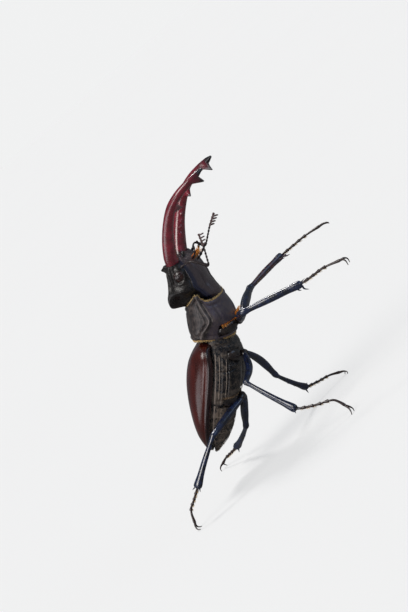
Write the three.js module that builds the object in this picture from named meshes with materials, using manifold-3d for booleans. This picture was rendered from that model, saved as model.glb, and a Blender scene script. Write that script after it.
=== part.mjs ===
// A male stag beetle, life size, rearing on its four hind feet with the forelegs and jaws raised.
// Millimetres, +Z up, the beetle faces +X and its left side is +Y.
import * as THREE from 'three';
import { mergeVertices } from 'three/addons/utils/BufferGeometryUtils.js';
import Module from 'manifold-3d';

const wasm = await Module();
wasm.setup();
const { Manifold, Mesh } = wasm;
const { abs, cos, exp, max, min, PI, sign, sin } = Math;
const deg = PI / 180;
const vec = (x, y, z) => new THREE.Vector3(x, y, z);

const gap = 0.28; // clearance where two pieces meet
const standing = 34.4; // height of the root of the wing cases above the floor
const wall = 0.95; // thickness of a wing case

// ---------------------------------------------------------------- frames
// Each body region has its own frame: forward along the body, left, and up out of the back.
function region(pitch, x, z) {
  const forward = vec(cos(pitch), 0, sin(pitch));
  const up = vec(-sin(pitch), 0, cos(pitch));
  const matrix = new THREE.Matrix4().makeBasis(forward, vec(0, 1, 0), up).setPosition(x, 0, z);
  return { forward, up, matrix, at: (f, l, u) => vec(f, l, u).applyMatrix4(matrix) };
}
const hind = region(49.5 * deg, 0, standing);
const fore = region(65.5 * deg, 1.02, standing + 0.97);
const skull = region(69.5 * deg, 5.92, standing + 9.88);

// ---------------------------------------------------------------- tools
const mix = (a, b, t) => a + (b - a) * t;
const bump = (x, centre, width) => exp(-(((x - centre) / width) ** 2));
const off = (point, way, amount) => point.clone().addScaledVector(way, amount);
const toward = (from, to) => to.clone().sub(from).normalize();
const largest = (solid) => solid.decompose().sort((a, b) => b.volume() - a.volume())[0];

// A smooth curve of a size along the body, through a few stations [where, size].
function through(...stations) {
  const s = stations.slice().sort((a, b) => a[0] - b[0]);
  const slope = (i) => {
    const a = s[max(0, i - 1)];
    const b = s[min(s.length - 1, i + 1)];
    return (b[1] - a[1]) / (b[0] - a[0]);
  };
  return (x) => {
    if (x <= s[0][0]) return s[0][1];
    if (x >= s[s.length - 1][0]) return s[s.length - 1][1];
    let i = 0;
    while (x > s[i + 1][0]) i++;
    const h = s[i + 1][0] - s[i][0];
    const t = (x - s[i][0]) / h;
    const p = slope(i) * h;
    const q = slope(i + 1) * h;
    const d = s[i + 1][1] - s[i][1];
    return s[i][1] + p * t + (3 * d - 2 * p - q) * t * t + (p + q - 2 * d) * t * t * t;
  };
}

// A closed body from a ball whose rings are each put in place by place(t, angle): t runs 0 to 1.
function skin(sides, rings, place) {
  const ball = new THREE.SphereGeometry(1, sides, rings);
  const spot = ball.attributes.position;
  const turn = (i) => (i % sides) / sides * 2 * PI;
  const pole = (t) => {
    const sum = vec(0, 0, 0);
    for (let i = 0; i < sides; i++) sum.add(place(t, turn(i)));
    return sum.divideScalar(sides);
  };
  const ends = { 0: pole(0), 1: pole(1) };
  for (let i = 0; i < spot.count; i++) {
    const t = Math.floor(i / (sides + 1)) / rings;
    const p = ends[t] || place(t, turn(i % (sides + 1)));
    spot.setXYZ(i, p.x, p.y, p.z);
  }
  ball.deleteAttribute('normal');
  ball.deleteAttribute('uv');
  const welded = mergeVertices(ball, 1e-5);
  const triVerts = new Uint32Array(welded.index.array);
  const make = () => new Manifold(new Mesh({
    numProp: 3, vertProperties: new Float32Array(welded.attributes.position.array), triVerts,
  }));
  const solid = make();
  if (solid.volume() > 0) return solid;
  for (let i = 0; i < triVerts.length; i += 3) {
    [triVerts[i + 1], triVerts[i + 2]] = [triVerts[i + 2], triVerts[i + 1]];
  }
  return make();
}

// One point of a cross-section: half-width, height over and depth under its widest line, fullness.
function section(angle, half, over, under, fullOver, fullUnder) {
  const c = cos(angle);
  const s = sin(angle);
  const power = 2 / (s >= 0 ? fullOver : fullUnder);
  const rise = (s >= 0 ? over : under) * sign(s) * abs(s) ** power;
  return [half * sign(c) * abs(c) ** power, rise];
}

// An egg in a body region, at (f, l, u) with its three radii.
function egg(where, f, l, u, rf, rl, ru, sides = 10, rings = 6) {
  return skin(sides, rings, (t, a) => {
    const r = sin(PI * t);
    return where.at(f + rf * cos(PI * t), l + rl * r * cos(a), u + ru * r * sin(a));
  });
}

// A tapering limb along a path of points. wide and thick give its half-sizes at t; flat leans it.
function limb(points, sides, rings, wide, thick, flat) {
  const path = points.length === 2
    ? new THREE.LineCurve3(points[0], points[1])
    : new THREE.CatmullRomCurve3(points, false, 'centripetal');
  const lean = flat || vec(0.03, 0.02, 1);
  return skin(sides, rings, (even, a) => {
    const t = rings < 12 ? (1 - cos(PI * even)) / 2 : even;
    const along = path.getTangentAt(t);
    const side = lean.clone().cross(along).normalize();
    const over = along.clone().cross(side).normalize();
    return path.getPointAt(t)
      .addScaledVector(side, wide(t) * cos(a))
      .addScaledVector(over, (thick || wide)(t) * sin(a));
  });
}

// Closes a limb to a point at both ends, over a share of its length there.
const rounded = (t, share) => {
  const k = min(1, t / share, (1 - t) / share);
  return k >= 1 ? 1 : Math.sqrt(max(0, 1 - (1 - k) ** 2));
};

// Keeps the part of a solid behind (way -1) or ahead (way 1) of a plane through a point.
function trimmed(solid, point, normal, way, room) {
  const n = normal.clone().normalize().multiplyScalar(way);
  return solid.trimByPlane([n.x, n.y, n.z], n.dot(point) + room);
}

const pieces = new THREE.Group();
function piece(name, solid) {
  const mesh = solid.getMesh();
  const geometry = new THREE.BufferGeometry();
  geometry.setAttribute('position', new THREE.BufferAttribute(new Float32Array(mesh.vertProperties), 3));
  geometry.setIndex(new THREE.BufferAttribute(new Uint32Array(mesh.triVerts), 1));
  geometry.computeVertexNormals();
  const shown = new THREE.Mesh(geometry, new THREE.MeshStandardMaterial({ color: 0x3a2a2a }));
  shown.name = name;
  pieces.add(shown);
}
const sideNames = [['right', -1], ['left', 1]];

// ---------------------------------------------------------------- wing cases
const caseFront = 1.3;
const caseBack = -30.6;
const caseWidest = { f: -11, half: 10.3 };
const caseTall = 8.2; // height of the dome over its edge, at the widest place
const caseHalf = (f) => {
  const ahead = f > caseWidest.f;
  const end = ahead ? caseFront : caseBack;
  const reach = min(1, (f - caseWidest.f) / (end - caseWidest.f));
  const full = ahead ? 4.5 : 2.05; // square shoulders, a rounded tail
  return caseWidest.half * (1 - reach ** full) ** (1 / full);
};
const caseEdge = through([1.3, -0.4], [-6, -1.1], [-14, -0.7], [-23, 0.2], [-30.6, 0.6]);
const caseTop = through(
  [1.3, 2.5], [0.4, 3.5], [-2, 5.1], [-5.6, 6.6], [-11.2, 7.1], [-18.2, 6.3], [-25.1, 4.4], [-28.6, 2.3],
  [-30.6, 0.8],
);

// The dome of both wing cases together, made larger or smaller by grow, its floor lowered by drop.
function dome(grow, drop, sides, rings) {
  const centre = (caseFront + caseBack) / 2;
  const length = (caseFront - caseBack) / 2;
  return skin(sides, rings, (t, a) => {
    const f = centre + length * cos(PI * t) * 0.9999;
    const wide = caseHalf(f) * (1 + grow / caseWidest.half);
    const high = (caseTop(f) - caseEdge(f)) * (1 + grow / caseTall);
    const [l, u] = section(a, wide, high, 0, 2.25, 2);
    return hind.at(centre + (f - centre) * (1 + grow / length), l, caseEdge(f) - (a > PI ? drop : 0) + u);
  });
}
// The small triangular plate between the roots of the wing cases.
const plate = (g) => egg(hind, -2.1, 0, 4.0, 2.0 + g, 1.8 + g, 1.0 + g, 8, 5);

// ---------------------------------------------------------------- hind body
const trunkHalf = through(
  [4.2, 4.6], [2, 6.4], [0, 7.0], [-2, 7.6], [-5, 8.4], [-10, 8.6], [-15, 8.4], [-20, 7.4], [-24, 5.8],
  [-28, 3.0], [-30.4, 1.5],
);
const trunkTop = through(
  [4.2, 1.6], [1, 2.2], [-1, 2.9], [-5.6, 4.8], [-11.2, 5.5], [-18.2, 4.5], [-25.1, 2.2], [-28, 0.3],
  [-31.2, -0.4],
);
const trunkLow = through(
  [4.2, -3.2], [2.4, -4.4], [0.6, -6.3], [-2, -7.5], [-7, -7.9], [-12, -7.5], [-16, -6.6], [-20.7, -5.6],
  [-23.2, -5.2], [-27.2, -3.7], [-30, -1.7], [-31.2, -0.9],
);
const trunkEdge = through([4.2, -0.6], [0, -1.5], [-6, -2.0], [-14, -1.7], [-23, -0.9], [-31.2, -0.6]);
const waist = -15.6; // where the thorax ends and the abdomen begins
const trunk = (grow) => skin(20, 16, (t, a) => {
  const f = mix(4.3, -31.2, t);
  const closed = rounded(t, 0.035);
  const edge = trunkEdge(f);
  const over = (trunkTop(f) - edge + grow) * closed;
  const under = (edge - trunkLow(f) + grow) * closed;
  const [l, u] = section(a, (trunkHalf(f) + grow) * closed, over, under, 2.3, 2.7);
  return hind.at(f, l, edge + u);
});
const doorway = trimmed(trunk(gap), hind.at(-3, 0, 0), hind.forward, 1, 0); // where the trunk leaves the cases
const casing = dome(0, 0, 24, 13).subtract(dome(-wall, 4, 12, 8)).subtract(doorway);

// ---------------------------------------------------------------- prothorax
const shieldHalf = through(
  [0, 6.6], [1.2, 7.2], [3, 8.1], [5.2, 8.9], [6.4, 9.1], [9, 8.75], [11.5, 8.2], [13.2, 7.4],
);
const shieldEdge = through([0, 2.0], [2.6, 1.4], [6.4, -2.3], [9.5, -1.6], [12.9, -0.7]);
const shieldTop = through([0, 5.3], [2.5, 5.6], [5.3, 5.6], [9.2, 5.0], [13, 4.2]);
const shieldLow = through([0, -6.2], [2, -7.3], [4.4, -7.6], [9.6, -6.5], [13, -5.6]);
// The front rim is cut back at the top of the neck and below it, the back rim over the wing cases.
const shieldFront = (a) => 12.9 - 3.2 * max(0, sin(a)) ** 3 - 1.3 * max(0, -sin(a)) ** 2;
const shieldBack = (a) => 1.5 * min(1, max(0, 1.1 + 2 * sin(a)));
const shieldRings = 11;
const shieldAxis = -0.6; // height of the line both ends close in to
const rim = { share: 0.86, back: 0.35, floor: 8.6 }; // the rolled front rim and the floor of the neck's hollow
const shield = skin(22, shieldRings, (t, a) => {
  const ring = Math.round(t * shieldRings);
  if (ring === 0) return fore.at(0.9, 0, shieldAxis);
  if (ring === shieldRings) return fore.at(rim.floor, 0, shieldAxis);
  const rolled = ring === shieldRings - 1;
  const f = mix(shieldBack(a), shieldFront(a), (ring - 1) / (shieldRings - 2));
  const edge = shieldEdge(f);
  const [l, u] = section(a, shieldHalf(f), shieldTop(f) - edge, edge - shieldLow(f), 2.1, 1.9);
  const share = rolled ? rim.share : 1;
  return fore.at(f - (rolled ? rim.back : 0), l * share, shieldAxis + (edge + u - shieldAxis) * share);
});

// ---------------------------------------------------------------- head
const skullHalf = through(
  [-1.4, 5.6], [0, 7.2], [1.5, 9.2], [4, 10.0], [6.5, 9.8], [8.5, 9.1], [10, 8.9], [11.8, 8.4], [13, 6.6],
);
const skullTop = through([-1.4, 4.4], [0, 5.6], [3, 6.3], [7, 6.2], [10.5, 6.4], [12.2, 6.0], [13.2, 4.6]);
const skullLow = through(
  [-1.4, -2.8], [0, -4.0], [1.4, -4.6], [4, -3.6], [5.4, -2.8], [8.1, -2.3], [10.5, -1.5], [12.3, -0.4],
  [13.2, 1.2],
);
// The head capsule: a raised crest across the nape, a shallow dip in the brow, a low ridge at the front.
function skullForm(grow, sides = 22, rings = 13) {
  const edge = 2.2;
  const k = 1 + grow / 6;
  return skin(sides, rings, (t, a) => {
    const f = mix(-1.5, 13.4, t);
    const closed = rounded(t, 0.09);
    const half = skullHalf(f) * closed;
    const over = (skullTop(f) - edge) * closed;
    const under = (edge - skullLow(f)) * closed;
    const [l, rise] = section(a, half, over, under, 3.2, 2.6);
    const back = max(0, sin(a)) ** 0.6;
    const crest = (2.0 + 0.5 * bump(abs(l), 6.8, 1.4)) * bump(f, 1.7, 1.35) * back;
    const dip = 0.55 * bump(f, 6.5, 3) * bump(l, 0, 4.2) * back;
    const brow = 0.4 * bump(f, 11.4, 0.9) * bump(l, 0, 6) * back;
    return skull.at(6 + (f - 6) * (1 + grow / 7.5), l * (1 + grow / 9.5), edge + (rise + crest - dip + brow) * k);
  });
}
const eye = (s, g) => egg(skull, 10.0, s * 8.25, 2.2, 1.75 + g, 1.15 + g, 1.6 + g, 9, 5);

// Jaws: a swept horn from its root, bowed out and turned down and in, with a forked end.
const jawPath = (s, back) => [
  skull.at(12.3 - back, s * 5.1, 3.5), skull.at(15.2, s * 6.1, 3.1), skull.at(20, s * 7.5, 1.7),
  skull.at(24.3, s * 8.6, -0.2), skull.at(28.2, s * 9.3, -2.6), skull.at(30.8, s * 9.4, -5.4),
  skull.at(32.7, s * 8.8, -8.6), skull.at(33.6, s * 7.7, -11.2),
];
const jawWide = through([0, 2.7], [0.12, 2.4], [0.3, 1.7], [0.55, 1.35], [0.8, 1.15], [1, 0.95]);
const jawThick = through([0, 1.9], [0.15, 1.75], [0.35, 1.4], [0.6, 1.2], [1, 0.95]);
function jaw(s, grow) {
  const stem = limb(jawPath(s, grow), 8, grow ? 12 : 14,
    (t) => (jawWide(t) + grow) * rounded(t, 0.05), (t) => (jawThick(t) + grow) * rounded(t, 0.05), skull.up);
  if (grow) return stem;
  const horn = (from, to, radius) => limb([from, to], 6, 3, (t) => radius * (1 - t * 0.72) * rounded(t, 0.1));
  const ahead = horn(skull.at(32.9, s * 8.2, -10.0), skull.at(35.2, s * 6.6, -13.4), 1.0);
  const behind = horn(skull.at(33.0, s * 8.1, -9.8), skull.at(31.3, s * 6.3, -13.1), 0.95);
  const middle = horn(skull.at(27.6, s * 9.0, -2.4), skull.at(26.9, s * 5.9, -4.4), 1.05);
  const small = horn(skull.at(23.4, s * 8.2, 0.1), skull.at(22.9, s * 6.6, -1.3), 0.6);
  return stem.add(ahead).add(behind).add(middle).add(small);
}

// ---------------------------------------------------------------- feelers and mouth
// The radius of a string of count beads, at t along it.
const beads = (t, count, thin, thick) => mix(thin, thick, sin(PI * ((t * count) % 1)) ** 0.7);
const feelers = {
  right: {
    socket: skull.at(12.3, -8.5, 1.0), bend: skull.at(13.2, -9.6, -2.4), elbow: skull.at(10.7, -9.5, -6.7),
    neck: skull.at(16.0, -9.4, -7.1), tip: skull.at(19.4, -9.0, -6.9),
  },
  left: {
    socket: skull.at(12.3, 8.5, 1.0), bend: skull.at(13.6, 10.4, 0.2), elbow: skull.at(11.9, 10.2, -2.4),
    neck: skull.at(16.4, 10.6, -5.1), tip: skull.at(19.7, 10.5, -7.6),
  },
};

function buildFeeler(side) {
  const { socket, bend, elbow, neck, tip } = feelers[side];
  const scapeWide = through([0, 0.3], [0.7, 0.36], [1, 0.5]);
  const way = toward(elbow, neck);
  const clubWay = toward(neck, tip);
  const leaves = { count: 4, first: 0.6, apart: 0.85, long: 1.5 };
  const leaf = toward(skull.at(0, 0, 0), skull.at(0, -1, -1.2));
  let club = limb([neck, tip], 5, 4, (t) => 0.36 * rounded(t, 0.1));
  for (let i = 0; i < leaves.count; i++) {
    const from = off(neck, clubWay, leaves.first + i * leaves.apart);
    const to = off(off(from, leaf, leaves.long + 0.15 * i), clubWay, 0.35);
    const half = (t) => rounded(t, 0.3);
    club = club.add(limb([from, to], 5, 3, (t) => 0.52 * half(t), (t) => 0.3 * half(t), clubWay));
  }
  piece(`antenna_scape_${side}`, limb([socket, bend, elbow], 6, 7, (t) => scapeWide(t) * rounded(t, 0.04)));
  piece(`antenna_funicle_${side}`, limb([off(elbow, way, 0.72), off(neck, clubWay, -gap)], 5, 13,
    (t) => beads(t, 6, 0.28, 0.36) * rounded(t, 0.03)));
  piece(`antenna_club_${side}`, club);
}

function buildPalps(side, s) {
  const upper = [skull.at(12.3, s * 2.6, -1.1), skull.at(13.6, s * 3.0, -2.6), skull.at(15.6, s * 2.4, -2.6)];
  const lower = [skull.at(11.4, s * 1.0, -1.9), skull.at(12.3, s * 1.5, -3.2), skull.at(13.3, s * 1.8, -3.9)];
  piece(`maxillary_palp_${side}`, limb(upper, 5, 8, (t) => beads(t, 3, 0.28, 0.4) * rounded(t, 0.05)));
  piece(`labial_palp_${side}`, limb(lower, 5, 6, (t) => beads(t, 2, 0.28, 0.38) * rounded(t, 0.06)));
}

// ---------------------------------------------------------------- legs
// Each leg from the tip of its coxa to the root of its claws, measured from the root of the wing cases.
const spot = (x, y, z) => vec(x, y, z + standing);
const legs = {
  fore_right: {
    coxa: [fore, 3.0, -2.7, -6.2, 2.1, 2.5, 2.3],
    knee: spot(16.5, -15, 3.2), ankle: spot(33.1, -12.5, -0.7), instep: spot(40.1, -13.2, -0.8),
    toe: spot(45.2, -13.8, -1.9), claw: vec(0.25, 0, -1), raised: true, teeth: [0.45, 0.62, 0.78],
  },
  fore_left: {
    coxa: [fore, 3.0, 2.7, -6.2, 2.1, 2.5, 2.3],
    knee: spot(12.4, 15.3, 3.1), ankle: spot(21.4, 29, 3.2), instep: spot(29.0, 31.2, 3.1),
    toe: spot(34.2, 32.5, 2.5), claw: vec(0.7, 0.1, -0.35), raised: true, teeth: [0.45, 0.62, 0.78],
  },
  mid_right: {
    coxa: [hind, -2.2, -3.5, -6.5, 2.0, 2.5, 2.1],
    knee: spot(4.4, -14.5, -11.7), ankle: spot(12, -19.5, -24.9), instep: spot(21.0, -18.7, -28.8),
    toe: spot(22.6, -19.0, -31.9), claw: vec(0.1, -0.05, -1), teeth: [0.38, 0.62],
  },
  mid_left: {
    coxa: [hind, -2.2, 3.5, -6.5, 2.0, 2.5, 2.1],
    knee: spot(3.3, 11, -19.4), ankle: spot(4, 22.6, -29.4), instep: spot(9.6, 27.6, -31.4),
    toe: spot(12.3, 29.2, -32.9), claw: vec(0.5, 0.3, -1), teeth: [0.38, 0.62],
  },
  hind_right: {
    coxa: [hind, -14.6, -4.3, -6.2, 1.8, 3.9, 1.9],
    knee: spot(-12.8, -13.2, -18), ankle: spot(-23.5, -19.6, -25.6), instep: spot(-28.4, -20.4, -29.0),
    toe: spot(-29.9, -20.6, -32.4), claw: vec(0.3, 0, -1), teeth: [0.3, 0.48],
  },
  hind_left: {
    coxa: [hind, -14.6, 4.3, -6.2, 1.8, 3.9, 1.9],
    knee: spot(-12.3, 9.6, -25.4), ankle: spot(-22, 19.2, -30.2), instep: spot(-28.4, 24.2, -31.7),
    toe: spot(-31.2, 26.4, -32.9), claw: vec(-0.5, 0.4, -1), teeth: [0.3, 0.48],
  },
};

function coxa(name, grow) {
  const [where, f, l, u, rf, rl, ru] = legs[name].coxa;
  return egg(where, f, l, u, rf + grow, rl + grow, ru + grow, 8, 5);
}

const femurWide = through([0, 0.75], [0.2, 0.95], [0.5, 1.1], [0.85, 0.95], [1, 0.85]);
const tibiaWide = through([0, 0.62], [0.3, 0.7], [0.75, 0.85], [0.93, 1.05], [1, 1.0]);

function femurOf(name, leg, lean) {
  const width = (t) => lean.stout * femurWide(t) * rounded(t, 0.05);
  const bar = limb([off(lean.hip, lean.thigh, -0.2), off(leg.knee, lean.thigh, 0.7)], 7, 6,
    width, (t) => 0.85 * width(t), lean.outer);
  return trimmed(bar, leg.knee, lean.bend, -1, gap / 2).subtract(coxa(name, gap * 0.6));
}

// A shin, made wider by grow as a cutter. Its teeth stand on the outer edge, two spurs at its end.
function tibiaOf(leg, lean, grow) {
  const width = (t) => (lean.stout * tibiaWide(t) + grow) * rounded(t, 0.04);
  let bar = limb([off(leg.knee, lean.shin, -0.6), off(leg.ankle, lean.shin, 0.35 + grow)], 7, 5,
    width, (t) => (grow ? 1 : 0.8) * width(t), lean.outer);
  const spur = (share, side, along, radius) => {
    const root = off(leg.knee.clone().lerp(leg.ankle, share), lean.outer, side * 0.45);
    const end = off(off(root, lean.outer, side * 1.15), lean.shin, along);
    return limb([root, end], 4, 3, (t) => radius * (1 - 0.5 * t) * rounded(t, 0.3));
  };
  for (const share of leg.teeth) bar = bar.add(spur(share, 1, 0.5, 0.42));
  bar = bar.add(spur(0.92, 1.2, 1.4, 0.5)).add(spur(0.92, -1.1, 1.3, 0.44));
  return trimmed(bar, leg.knee, lean.bend, 1, gap / 2);
}

// A foot of four short beads and a long last one, clear of the shin's end.
function tarsusOf(leg, lean) {
  const shortBeads = 0.62;
  const width = (t) => {
    const bead = t < shortBeads
      ? 0.33 + 0.13 * ((t * 4 / shortBeads) % 1)
      : mix(0.32, 0.44, (t - shortBeads) / (1 - shortBeads));
    return bead * rounded(t, 0.03);
  };
  const path = [off(leg.ankle, lean.sole, 0.3), leg.ankle.clone().lerp(leg.instep, 0.55), leg.instep, leg.toe];
  const foot = limb(path, 5, 13, width).subtract(tibiaOf(leg, lean, gap));
  return trimmed(largest(foot), leg.toe, lean.toeWay, -1, gap - 0.1);
}

// Two hooks on a small root. On the four standing feet they end flat on the floor.
function clawsOf(leg, lean) {
  const root = off(leg.toe, lean.toeWay, 0.12);
  const spread = lean.toeWay.clone().cross(leg.claw).normalize();
  const overshoot = 0.12;
  const knob = [off(root, lean.toeWay, -0.4), off(root, lean.toeWay, 0.45)];
  let hooks = limb(knob, 5, 3, (t) => 0.45 * rounded(t, 0.3));
  for (const k of [-1, 1]) {
    const bow = off(off(root, lean.toeWay, 0.7), spread, k * 0.75);
    let end = off(root, spread, k * 1.35);
    if (leg.raised) end = off(off(end, lean.toeWay, 0.7), leg.claw.clone().normalize(), 2.0);
    else end = off(end, leg.claw, (root.z + overshoot) / abs(leg.claw.z));
    hooks = hooks.add(limb([root, bow, end], 4, 4, (t) => mix(0.36, 0.27, t) * rounded(t, 0.12)));
  }
  hooks = trimmed(hooks, leg.toe, lean.toeWay, 1, 0.1);
  return largest(leg.raised ? hooks : hooks.trimByPlane([0, 0, 1], 0));
}

function buildLeg(name) {
  const leg = legs[name];
  const [where, f, l, u, , , ru] = leg.coxa;
  const hip = where.at(f + 0.5, l * 0.8, u - ru - 0.3);
  const thigh = toward(hip, leg.knee);
  const shin = toward(leg.knee, leg.ankle);
  const lean = {
    hip, thigh, shin,
    sole: toward(leg.ankle, leg.instep),
    toeWay: toward(leg.instep, leg.toe),
    bend: thigh.clone().add(shin),
    outer: shin.clone().cross(thigh).cross(shin).normalize(),
    stout: name.startsWith('fore') ? 1.12 : 1,
  };
  piece(`coxa_${name}`, coxa(name, 0));
  piece(`femur_${name}`, femurOf(name, leg, lean));
  piece(`tibia_${name}`, tibiaOf(leg, lean, 0));
  piece(`tarsus_${name}`, tarsusOf(leg, lean));
  piece(`claws_${name}`, clawsOf(leg, lean));
}

// ---------------------------------------------------------------- pieces
const pit = 0.62; // radius of the pit each feeler stands in
let head = skullForm(0);
for (const [side, s] of sideNames) {
  head = head.subtract(eye(s, gap * 0.7)).subtract(jaw(s, gap));
  piece(`eye_${side}`, eye(s, 0));
  piece(`mandible_${side}`, jaw(s, 0));
  buildFeeler(side);
  buildPalps(side, s);
  head = head.subtract(egg(skull, 12.3, s * 8.5, 1.0, pit, pit, pit, 6, 4));
}
const neckRoom = skullForm(gap + 0.5, 14, 9);
piece('labrum', egg(skull, 13.9, 0, 1.4, 1.1, 1.9, 0.6, 8, 5).subtract(skullForm(gap * 0.7)));
piece('mouth_brush', egg(skull, 13.6, 0, -1.6, 1.3, 1.1, 0.7, 8, 5).subtract(skullForm(gap * 0.7)));
piece('head', head);

let prothorax = shield.subtract(neckRoom);
const body = trunk(0);
let thorax = trimmed(body, hind.at(waist, 0, 0), hind.forward, 1, gap / 2);
let abdomen = trimmed(body, hind.at(waist, 0, 0), hind.forward, -1, gap / 2);
thorax = trimmed(thorax, fore.at(0, 0, 0), fore.forward, -1, gap);
thorax = thorax.subtract(plate(gap));
for (const name of Object.keys(legs)) {
  const room = coxa(name, gap);
  if (name.startsWith('fore')) prothorax = prothorax.subtract(room);
  else thorax = thorax.subtract(room);
  if (name.startsWith('hind')) abdomen = abdomen.subtract(room);
}
for (const [side, s] of sideNames) {
  const half = casing.trimByPlane([0, s, 0], 0.1).subtract(plate(gap));
  piece(`elytron_${side}`, half);
}
piece('scutellum', plate(0));
piece('prothorax', prothorax);
piece('thorax', thorax);
piece('abdomen', abdomen);
for (const name of Object.keys(legs)) buildLeg(name);

// The part's origin: the middle of its footprint box, on the floor.
const bounds = new THREE.Box3().setFromObject(pieces);
const middle = bounds.getCenter(vec(0, 0, 0));
pieces.position.set(-middle.x, -middle.y, -bounds.min.z);

export default pieces;
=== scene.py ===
"""A male stag beetle, life size, rearing on four feet with its forelegs and jaws raised.

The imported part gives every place: the leg sockets and the eyes fix the frames of the three body
regions. Sizes inside those frames are millimetres, and meshes are in metres.
"""
import bisect
import math
import random

import bmesh
import bpy
from mathutils import Matrix, Vector


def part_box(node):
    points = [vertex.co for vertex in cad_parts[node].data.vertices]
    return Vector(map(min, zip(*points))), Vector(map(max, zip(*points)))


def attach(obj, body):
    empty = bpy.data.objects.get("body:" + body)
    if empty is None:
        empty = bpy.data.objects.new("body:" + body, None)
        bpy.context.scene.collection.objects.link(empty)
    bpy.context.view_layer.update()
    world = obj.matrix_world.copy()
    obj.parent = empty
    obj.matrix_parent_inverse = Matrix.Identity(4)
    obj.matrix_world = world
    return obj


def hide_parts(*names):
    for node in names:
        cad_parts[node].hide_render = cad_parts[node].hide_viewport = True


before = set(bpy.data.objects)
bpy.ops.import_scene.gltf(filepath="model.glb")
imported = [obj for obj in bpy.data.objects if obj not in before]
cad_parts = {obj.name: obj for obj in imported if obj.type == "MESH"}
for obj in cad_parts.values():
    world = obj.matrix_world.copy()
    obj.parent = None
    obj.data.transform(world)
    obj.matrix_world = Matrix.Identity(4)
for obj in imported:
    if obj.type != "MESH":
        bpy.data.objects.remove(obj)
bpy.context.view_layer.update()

MM = 0.001
PI = math.pi
FULL = 2 * PI
SIDES = (("right", -1), ("left", 1))
random.seed(7)


# ---------------------------------------------------------------- frames of the body regions
def middle(*nodes):
    """The middle of some CAD nodes' boxes."""
    corners = [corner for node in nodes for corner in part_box(node)]
    return sum(corners, Vector()) / len(corners)


class Region:
    """A frame along the body: forward, left, and up out of the back, from a pair of nodes at (f, u)."""

    def __init__(self, degrees, pair, f, u):
        pitch = math.radians(degrees)
        self.forward = Vector((math.cos(pitch), 0, math.sin(pitch)))
        self.left = Vector((0, 1, 0))
        self.up = Vector((-math.sin(pitch), 0, math.cos(pitch)))
        self.origin = middle(*pair) - (f * self.forward + u * self.up) * MM
        self.origin.y = middle("coxa_hind_right", "coxa_hind_left").y

    def way(self, f, l, u):
        return f * self.forward + l * self.left + u * self.up

    def at(self, f, l, u):
        return self.origin + self.way(f, l, u) * MM


hind = Region(49.5, ("coxa_hind_right", "coxa_hind_left"), -14.6, -6.2)
fore = Region(65.5, ("coxa_fore_right", "coxa_fore_left"), 3.0, -6.2)
skull = Region(69.5, ("eye_right", "eye_left"), 10.0, 2.2)


# ---------------------------------------------------------------- camera
def build_camera():
    """Looks nearly level across the beetle, rolled with it, from far enough off to be almost flat."""
    azimuth, elevation, roll = (math.radians(angle) for angle in (19, 6.5, 40.6))
    distance = 600 * MM
    view_height = 163.2 * MM
    toward = Vector((math.sin(azimuth) * math.cos(elevation),
                     -math.cos(azimuth) * math.cos(elevation), math.sin(elevation)))
    level = Vector((math.cos(azimuth), math.sin(azimuth), 0))
    upright = toward.cross(level)
    right = math.cos(roll) * level - math.sin(roll) * upright
    top = math.sin(roll) * level + math.cos(roll) * upright
    aim = hind.origin + (-2.53 * right + 9.33 * top) * MM
    data = bpy.data.cameras.new("camera")
    data.sensor_width = 36
    data.lens = data.sensor_width * distance / view_height
    data.clip_start = 0.01
    data.clip_end = 20
    camera = bpy.data.objects.new("camera", data)
    turn = Matrix((right, top, toward)).transposed().to_4x4()
    camera.matrix_world = Matrix.Translation(aim + toward * distance) @ turn
    bpy.context.scene.collection.objects.link(camera)
    bpy.context.scene.camera = camera


build_camera()


# ---------------------------------------------------------------- paint
class Tone:
    """A value in a material that plain operators work on: each operator adds its Math node."""

    def __init__(self, paint, socket):
        self.paint = paint
        self.socket = socket

    def __add__(self, other):
        return self.paint.maths("ADD", self, other)

    def __sub__(self, other):
        return self.paint.maths("SUBTRACT", self, other)

    def __rsub__(self, other):
        return self.paint.maths("SUBTRACT", other, self)

    def __mul__(self, other):
        return self.paint.maths("MULTIPLY", self, other)

    __radd__ = __add__
    __rmul__ = __mul__


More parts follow.
